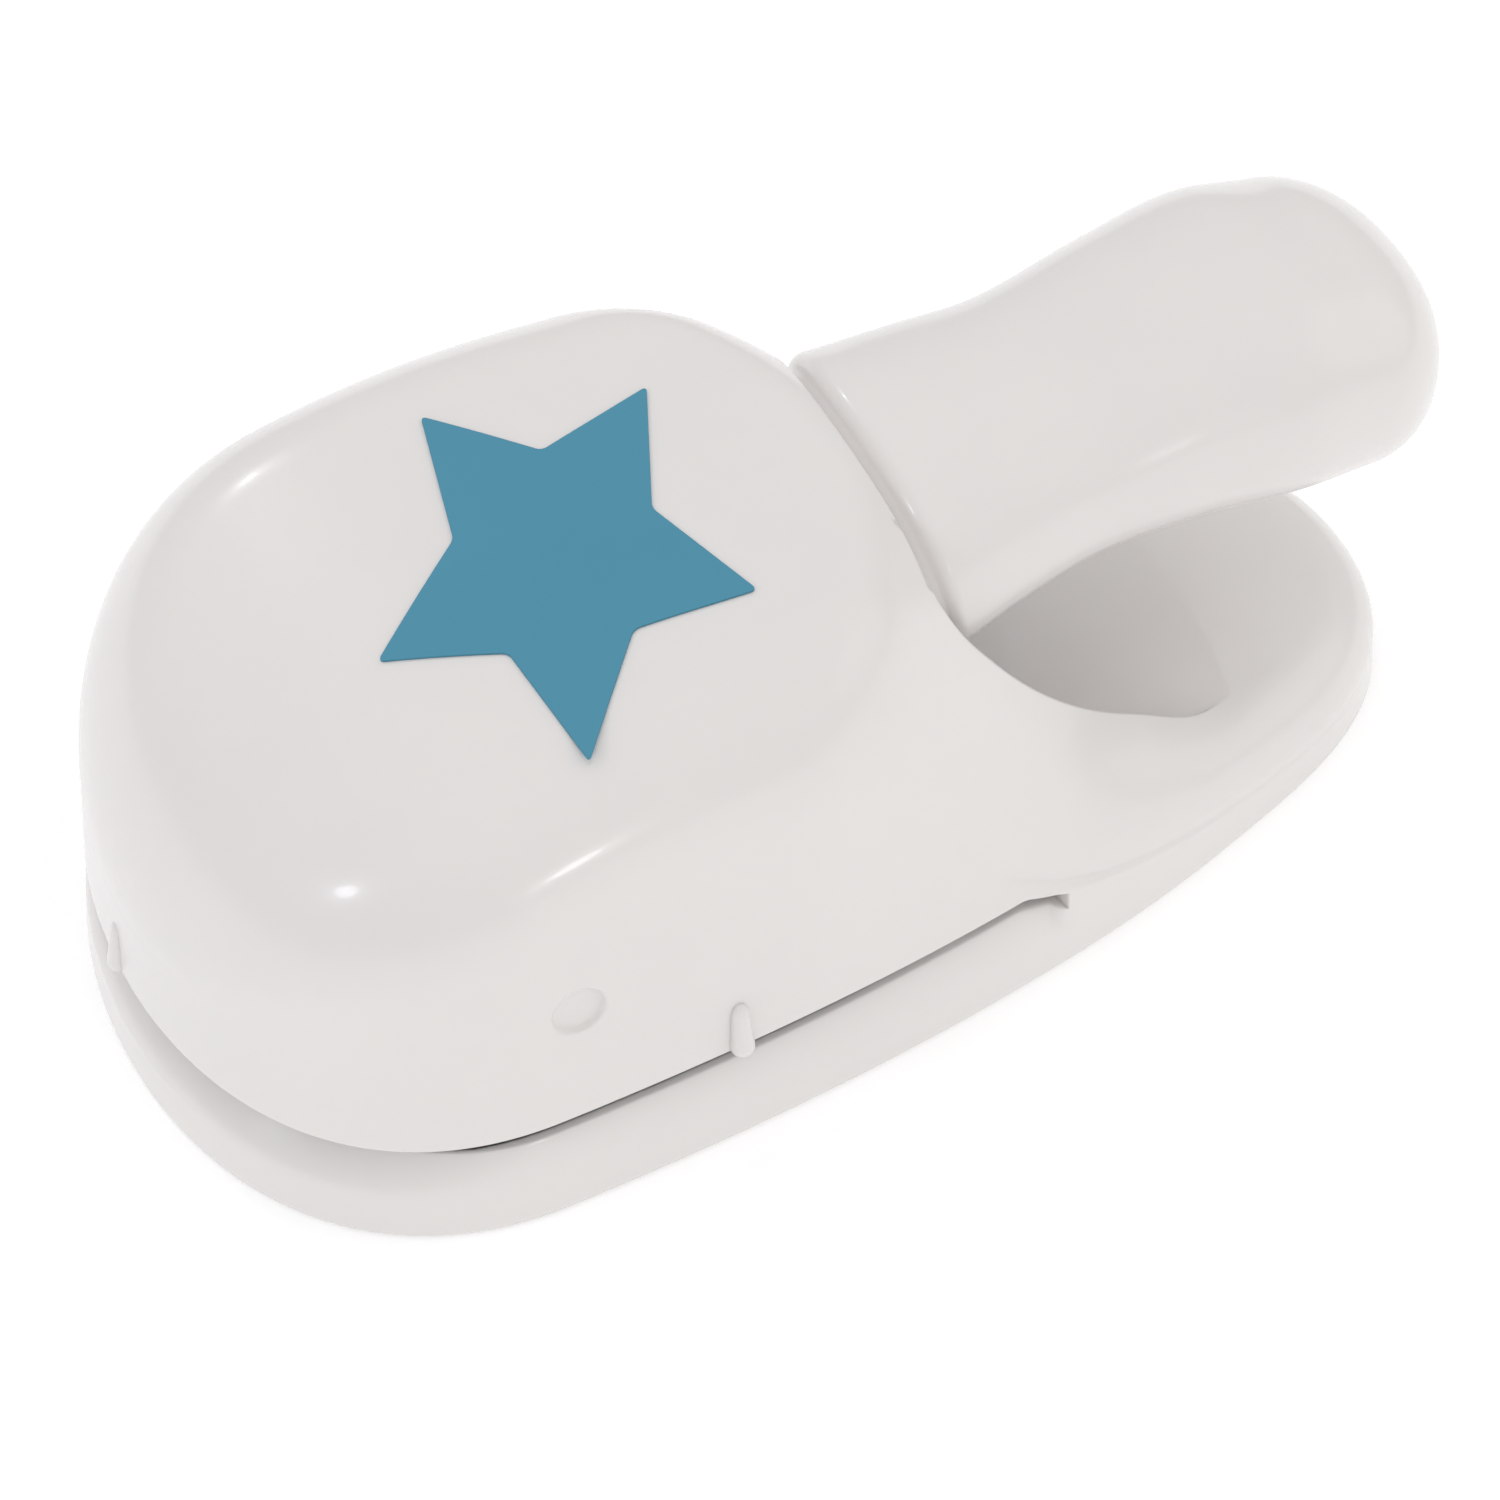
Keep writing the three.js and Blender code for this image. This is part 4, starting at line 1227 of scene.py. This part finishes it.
@dataclass
class Lever:
    """The long lever: handle, neck and the yoke that straddles the punch."""

    bench: Bench
    form: HandleForm = field(default_factory=HandleForm)
    wall: float = 2.6
    window: tuple[Pair, Pair] = ((-10.5, 10.5), (102.0, 148.0))
    seam: float = 0.25
    pivot: Pair = (39.0, 30.0)
    axle_radius: float = 2.6
    arm_inner: float = 31.3
    arm_outer: float = 34.2
    arm_length: float = 24.0
    eye_radius: float = 5.5
    deck: Pair = (35.0, 40.0)
    deck_front: float = 8.0
    deck_bend: tuple[float, float, float, float] = (26.0, 38.0, 40.0, 52.0)
    neck_half: float = 14.5
    neck_inset: float = 1.5
    neck_span: Pair = (32.0, 45.0)
    neck_rear: float = 99.2
    screw_at: Pair = (112.0, 138.0)
    screw_radius: float = 1.3
    head_radius: float = 2.7
    boss_radius: float = 2.8
    pilot_radius: float = 1.4
    pilot_depth: float = 9.0
    press_y: float = 57.0
    press_z: float = 33.9
    press_half: float = 12.0
    press_radius: float = 3.0
    press_gap: float = 0.12
    cheek_gap: float = 1.7
    cheek_half: Pair = (1.5, 4.5)

    def build(self, white: bpy.types.Material) -> None:
        """Builds the lever and its cover and dresses them."""
        lever = self._handle()
        for piece in self._yoke():
            lever = Bench.combine(lever, piece, Join.ADD)
        for cutter in self._bores():
            lever = Bench.combine(lever, cutter, Join.CUT)
        self.bench.finish(lever, "lever_arm", Body.LEVER, Slot.WHITE, white, ["lever"], 40.0)
        cover = self._cover()
        self.bench.finish(
            cover, "lever_cover_plate", Body.LEVER, Slot.WHITE, white, ["lever_cover"], 40.0
        )

    def _window(self, grow: float) -> Mesh:
        """The window under the handle that its cover fills, with rounded corners."""
        (x0, x1), (y0, y1) = self.window
        bm = Bench.block((x0 - grow, x1 + grow), (y0 - grow, y1 + grow), (20, 42))
        upright = [e for e in bm.edges if abs(e.verts[0].co.z - e.verts[1].co.z) > 1]
        Bench.round_edges(bm, upright, 2.5, 5)
        return bm

    def _hollow(self) -> Mesh:
        """The whole handle, hollow and closed all round."""
        return Bench.combine(self.form.solid(0.0, 112, 0.9), self.form.solid(self.wall, 48, 2.0), Join.CUT)

    def _handle(self) -> Mesh:
        """The hollow handle without its cover."""
        return Bench.combine(self._hollow(), self._window(self.seam), Join.CUT)

    def _cover(self) -> Mesh:
        """The cover of the handle's underside, with its screw holes."""
        cover = Bench.combine(self._hollow(), self._window(0.0), Join.KEEP)
        wide, narrow = self.head_radius + 0.3, self.screw_radius + 0.25
        for y in self.screw_at:
            z = self.form.underside(y)
            sink = Bench.turned([(0, -3), (wide, -3), (wide, 1.6), (narrow, 1.6), (narrow, 6), (0, 6)])
            bmesh.ops.translate(sink, vec=(0, y, z), verts=sink.verts)
            cover = Bench.combine(cover, sink, Join.CUT)
        return cover

    def _yoke(self) -> list[Mesh]:
        """Everything that joins the handle: deck, arms, cheeks, neck and the screws' bosses."""
        pieces = [self._deck()]
        for side in (-1, 1):
            pieces += [self._arm(side), self._cheek(side)]
        pieces.append(self._neck())
        pieces += [self._boss(at) for at in self.screw_at]
        return pieces

    def _deck(self) -> Mesh:
        """The flat deck over the punch, which narrows to the neck."""
        y, _ = self.pivot
        low, high = self.deck
        outer, inner, neck = self.arm_outer, self.arm_inner, self.neck_half
        a, b, c, d = (y + along for along in self.deck_bend)
        bend = interpolate_bezier((outer, a, 0), (outer, b, 0), (neck, c, 0), (neck, d, 0), 12)
        right = [(inner, y + self.deck_front), (inner, y), (outer, y)] + [(p.x, p.y) for p in bend]
        outline = right + [(-across, along) for across, along in reversed(right)]
        return Bench.slab(outline, Vector((0, 0, high - low)), Matrix.Translation((0, 0, low)))

    def _arm(self, side: int) -> Mesh:
        """The arm on one side, from its eye round the axle up to the deck."""
        y, z = self.pivot
        low, high = self.deck
        eye, rear = self.eye_radius, y + self.arm_length
        turns = [math.pi + 0.72 * math.pi * k / 10 for k in range(1, 11)]
        profile = [(y - eye, z)]
        profile += [(y + eye * math.cos(a), z + eye * math.sin(a)) for a in turns]
        profile += [(rear, low + 1), (rear, high), (y, high)]
        x = self.arm_inner if side > 0 else -self.arm_outer
        return Bench.slab(profile, Vector((self.arm_outer - self.arm_inner, 0, 0)), side_plane(x))

    def _cheek(self, side: int) -> Mesh:
        """The cheek that holds one end of the press bar."""
        x = side * (self.press_half + self.cheek_gap)
        across, along = self.cheek_half
        return Bench.block(
            (x - across, x + across),
            (self.press_y - along, self.press_y + along),
            (self.press_z - 2, self.deck[0] + 1),
        )

    def _neck(self) -> Mesh:
        """The neck that rises from the deck to the handle's root."""
        y, _ = self.pivot
        (low, high), (under, over), rear = self.deck, self.neck_span, self.neck_rear
        profile = [(y + 40, low), (y + 47, under), (rear, under), (rear, over)]
        profile += [(88.2, 44), (y + 44, high + 2.6), (y + 36, high), (y + 36, low)]
        half = self.neck_half - self.neck_inset
        return Bench.slab(profile, Vector((2 * half, 0, 0)), side_plane(-half))

    def _boss(self, at: float) -> Mesh:
        """The boss inside the handle that one cover screw turns into."""
        radius, height = self.boss_radius, 24.0
        boss = Bench.turned([(0, 0), (radius, 0), (radius, height), (0, height)], 28)
        bottom = self.form.underside(at) + self.wall + 0.6
        top = 2 * smooth_through(self.form.middle, at) - self.form.underside(at) - self.wall / 2
        bmesh.ops.scale(boss, vec=(1, 1, (top - bottom) / height), verts=boss.verts)
        bmesh.ops.translate(boss, vec=(0, at, bottom), verts=boss.verts)
        return boss

    def _bores(self) -> list[Mesh]:
        """Holes for the axle, the press bar and the screws."""
        across = Matrix.Rotation(math.pi / 2, 4, "Y")
        made = []
        for radius, half, (y, z) in (
            (self.axle_radius, 60.0, self.pivot),
            (self.press_radius + self.press_gap, self.press_half + 2, (self.press_y, self.press_z)),
        ):
            rod = Bench.turned([(0, -half), (radius, -half), (radius, half), (0, half)], 36)
            bmesh.ops.transform(rod, matrix=Matrix.Translation((0, y, z)) @ across, verts=rod.verts)
            made.append(rod)
        pilot, deep = self.pilot_radius, self.pilot_depth
        for at in self.screw_at:
            hole = Bench.turned([(0, 0), (pilot, 0), (pilot, deep), (0, deep)], 20)
            bmesh.ops.translate(hole, vec=(0, at, self.form.underside(at)), verts=hole.verts)
            made.append(hole)
        return made


# ---------------------------------------------------------------- hardware


@dataclass
class Screws:
    """The pan head screws that hold the cover, the plates and the handle cover."""

    bench: Bench
    bodies: tuple[tuple[str, Body], ...] = (
        ("cover_screw", Body.CASE), ("die_screw", Body.CASE), ("lever_screw", Body.LEVER),
    )
    head_height: float = 1.4
    head_dome: float = 0.45
    shank_radius: float = 1.3
    thread_depth: float = 0.28
    thread_pitch: float = 1.0
    cross_width: float = 0.62
    cross_reach: float = 1.55
    cross_depth: float = 0.95

    def build(self, finish: bpy.types.Material) -> None:
        """Builds one piece for each screw of the frame.

        Args:
            finish: The turned steel.
        """
        for name in sorted(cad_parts):
            body = next((b for start, b in self.bodies if name.startswith(start)), None)
            if body is None:
                continue
            low, high = (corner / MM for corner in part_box(name))
            screw = self._screw((high.x - low.x) / 2, high.z - low.z)
            middle = Vector(((low.x + high.x) / 2, (low.y + high.y) / 2 - self.bench.nose / MM, low.z))
            bmesh.ops.translate(screw, vec=middle, verts=screw.verts)
            self.bench.finish(screw, f"{name}_turned", body, Slot.STEEL, finish, [name], 30.0)

    def _screw(self, head: float, length: float) -> Mesh:
        """A screw that stands on its head, with a cross recess and a ringed thread.

        Args:
            head: Radius of the head.
            length: Whole length.

        Returns:
            The closed solid.
        """
        dome = self.head_dome
        profile = [(0.0, 0.0), (head * 0.5, 0.06), (head * 0.78, 0.2), (head * 0.94, dome)]
        profile += [(head, dome + 0.25), (head, self.head_height - 0.15)]
        profile.append((head - 0.15, self.head_height))
        crest, root = self.shank_radius, self.shank_radius - self.thread_depth
        z = self.head_height
        profile.append((root, z))
        while z + self.thread_pitch < length - 1.0:
            profile += [(root, z + 0.38), (crest, z + 0.5), (crest, z + 0.56), (root, z + 0.92)]
            z += self.thread_pitch
        profile += [(root, length - 0.7), (0.35, length), (0.0, length)]
        solid = Bench.turned(profile, 40)
        reach, half, deep = self.cross_reach, self.cross_width / 2, self.cross_depth
        wedge = [(-reach, -0.5), (reach, -0.5), (reach * 0.45, deep), (-reach * 0.45, deep)]
        upright = Matrix(((1, 0, 0, 0), (0, 0, 1, -half), (0, 1, 0, 0), (0, 0, 0, 1)))
        for turn in (0.0, math.pi / 2):
            slit = Bench.slab(wedge, Vector((0, 2 * half, 0)), upright)
            bmesh.ops.rotate(slit, cent=(0, 0, 0), matrix=Matrix.Rotation(turn, 3, "Z"), verts=slit.verts)
            solid = Bench.combine(solid, slit, Join.CUT)
        return solid


@dataclass
class Springs:
    """The four return springs, wound in round wire at one fixed length, though the real springs shorten as
    the punch goes down.
    """

    bench: Bench
    wire: float = 0.9
    coil: float = 3.1
    turns: float = 4.0
    steps_per_turn: int = 36
    travel: float = 3.35

    def build(self, finish: bpy.types.Material) -> None:
        """Winds one spring for each spring node of the frame.

        Args:
            finish: The spring wire.
        """
        for name in sorted(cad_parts):
            if not name.startswith("return_spring"):
                continue
            low, high = (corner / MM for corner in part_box(name))
            post_name = name.replace("return_spring", "guide_post")
            post_low, post_high = (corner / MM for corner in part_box(post_name))
            length = high.z - low.z
            spring = self._coil(length)
            post = (post_low + post_high) / 2
            bmesh.ops.translate(
                spring, vec=(post.x, post.y - self.bench.nose / MM, low.z), verts=spring.verts
            )
            obj = self.bench.finish(spring, f"{name}_wound", Body.CASE, Slot.SPRING, finish, [name], 50.0)
            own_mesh(obj)

    def _coil(self, length: float) -> Mesh:
        """A helix of round wire with closed ends.

        Args:
            length: Whole height of the spring.

        Returns:
            The closed solid, standing on z = 0.
        """
        bm = bmesh.new()
        ring = bmesh.ops.create_circle(bm, cap_ends=True, segments=12, radius=self.wire / 2)
        stand = Matrix.Translation((self.coil, 0, self.wire / 2)) @ Matrix.Rotation(math.pi / 2, 4, "X")
        bmesh.ops.transform(bm, matrix=stand, verts=ring["verts"])
        steps = round(self.turns * self.steps_per_turn)
        bmesh.ops.spin(
            bm,
            geom=bm.verts[:] + bm.edges[:] + bm.faces[:],
            cent=(0, 0, 0),
            axis=(0, 0, 1),
            dvec=(0, 0, (length - self.wire) / steps),
            angle=2 * math.pi * self.turns,
            steps=steps,
            use_merge=False,
        )
        bmesh.ops.remove_doubles(bm, verts=bm.verts, dist=1e-4)
        bmesh.ops.recalc_face_normals(bm, faces=bm.faces)
        return bm


# ---------------------------------------------------------------- studio


@dataclass(frozen=True)
class Softbox:
    """One soft studio light: where it is, how large, how bright and how warm."""

    name: str
    place: tuple[float, float, float]
    size: float
    watts: float
    colour: Colour


@dataclass
class Studio:
    """Floor, soft lights, sky and camera."""

    azimuth: float = 63.5
    elevation: float = 50.0
    lens: float = 100.0
    sensor: float = 36.0
    far_clip: float = 20.0
    distance: float = 463.0
    target: tuple[float, float, float] = (7.9, -6.2, 20.0)
    floor_half: float = 3.0
    floor_drop: float = 0.0002
    floor_tones: Pair = (0.93, 0.95)
    floor_glow: float = 0.22
    sky: Pair = (0.52, 1.02)
    boxes: tuple[Softbox, ...] = (
        Softbox("front_softbox", (0.05, -0.85, 0.54), 0.12, 0.5, (0.88, 0.92, 1.0)),
        Softbox("right_softbox", (1.0, 0.05, 0.28), 0.09, 0.32, (1.0, 0.99, 0.97)),
        Softbox("left_lamp", (-0.73, -0.26, 0.63), 0.03, 0.3, (1.0, 1.0, 1.0)),
        Softbox("rear_fill", (0.6, 1.4, 0.9), 1.5, 2.4, (1.0, 0.965, 0.92)),
    )

    def build(self) -> None:
        """Sets the stage."""
        self._floor()
        self._world()
        for box in self.boxes:
            self._light(box)
        self._camera()
        bpy.context.scene.view_settings.view_transform = "Standard"

    def _floor(self) -> None:
        """A wide pale floor that can be seen through from below."""
        bm = bmesh.new()
        bmesh.ops.create_grid(bm, x_segments=2, y_segments=2, size=self.floor_half)
        bmesh.ops.translate(bm, vec=(0, 0, -self.floor_drop), verts=bm.verts)
        floor = add_mesh("studio_floor", bm)
        material, tree, shader = blank_material("pale_floor")
        spot = node(tree, "TexCoord").outputs["Object"]
        dark, light = ((tone, tone, tone) for tone in self.floor_tones)
        tone = blend(tree, noise(tree, spot, 3.0, 2.0), dark, light)
        below = node(tree, "NewGeometry").outputs["Backfacing"]
        solid = node(tree, "Math", {0: 1.0, 1: below}, operation="SUBTRACT")
        feed(
            tree,
            shader,
            {
                "Alpha": solid.outputs[0],
                "Base Color": tone,
                "Roughness": 0.9,
                "Specular IOR Level": 0.1,
                "Emission Color": (1.0, 1.0, 1.0, 1.0),
                "Emission Strength": self.floor_glow,
            },
        )
        floor.data.materials.append(material)

    def _world(self) -> None:
        """A white sky that is brighter overhead than at the horizon."""
        world = bpy.data.worlds.new("white_sky")
        world.use_nodes = True
        tree = world.node_tree
        way = node(tree, "TexCoord").outputs["Generated"]
        height = node(tree, "SeparateXYZ", {0: way}).outputs["Z"]
        low, high = self.sky
        glow = node(tree, "MapRange", {"Value": height, "To Min": low, "To Max": high})
        background = tree.nodes["Background"]
        feed(tree, background, {"Color": (1.0, 1.0, 1.0, 1.0), "Strength": glow.outputs["Result"]})
        bpy.context.scene.world = world

    def _light(self, box: Softbox) -> None:
        """Hangs one softbox, turned to the punch."""
        light = bpy.data.lights.new(box.name, "AREA")
        light.shape = "DISK"
        light.size = box.size
        light.energy = box.watts
        light.color = box.colour
        obj = add_object(box.name, light)
        obj.location = box.place
        obj.rotation_euler = (-Vector(box.place)).to_track_quat("-Z", "Y").to_euler()

    def _camera(self) -> None:
        """Puts the camera above the nose's right side, looking down the case."""
        az, el = math.radians(self.azimuth), math.radians(self.elevation)
        back = Vector((math.sin(az) * math.cos(el), -math.cos(az) * math.cos(el), math.sin(el)))
        camera = bpy.data.cameras.new("camera")
        camera.lens = self.lens
        camera.sensor_width = self.sensor
        camera.clip_end = self.far_clip
        obj = add_object("camera", camera)
        obj.location = (Vector(self.target) + back * self.distance) * MM
        obj.rotation_euler = back.to_track_quat("Z", "Y").to_euler()
        bpy.context.scene.camera = obj


# ---------------------------------------------------------------- assembly


def dress_frame(finishes: FinishSet) -> None:
    """Gives every frame node that still shows its finish.

    Args:
        finishes: The materials.
    """
    wanted = {
        "bottom_cover": finishes.cover,
        "axle_keeper": finishes.cover,
        "punch_carrier": finishes.carrier,
        "return_spring": finishes.wire,
        "guide_post": finishes.turned,
    }
    for name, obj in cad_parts.items():
        if obj.hide_render:
            continue
        material = next((m for start, m in wanted.items() if name.startswith(start)), finishes.ground)
        obj.data.materials.clear()
        obj.data.materials.append(material)
        log.info("%s: frame node in %s", name, material.name)


def main() -> None:
    """Builds the punch's pieces in order, then the studio."""
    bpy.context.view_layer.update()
    bench = Bench()
    finishes = FinishSet()
    Case(bench).build(finishes.white)
    StarFilm(bench).build(finishes.film)
    Lever(bench).build(finishes.white)
    Screws(bench).build(finishes.turned)
    Springs(bench).build(finishes.wire)
    dress_frame(finishes)
    Studio().build()


if __name__ == "__main__":
    main()
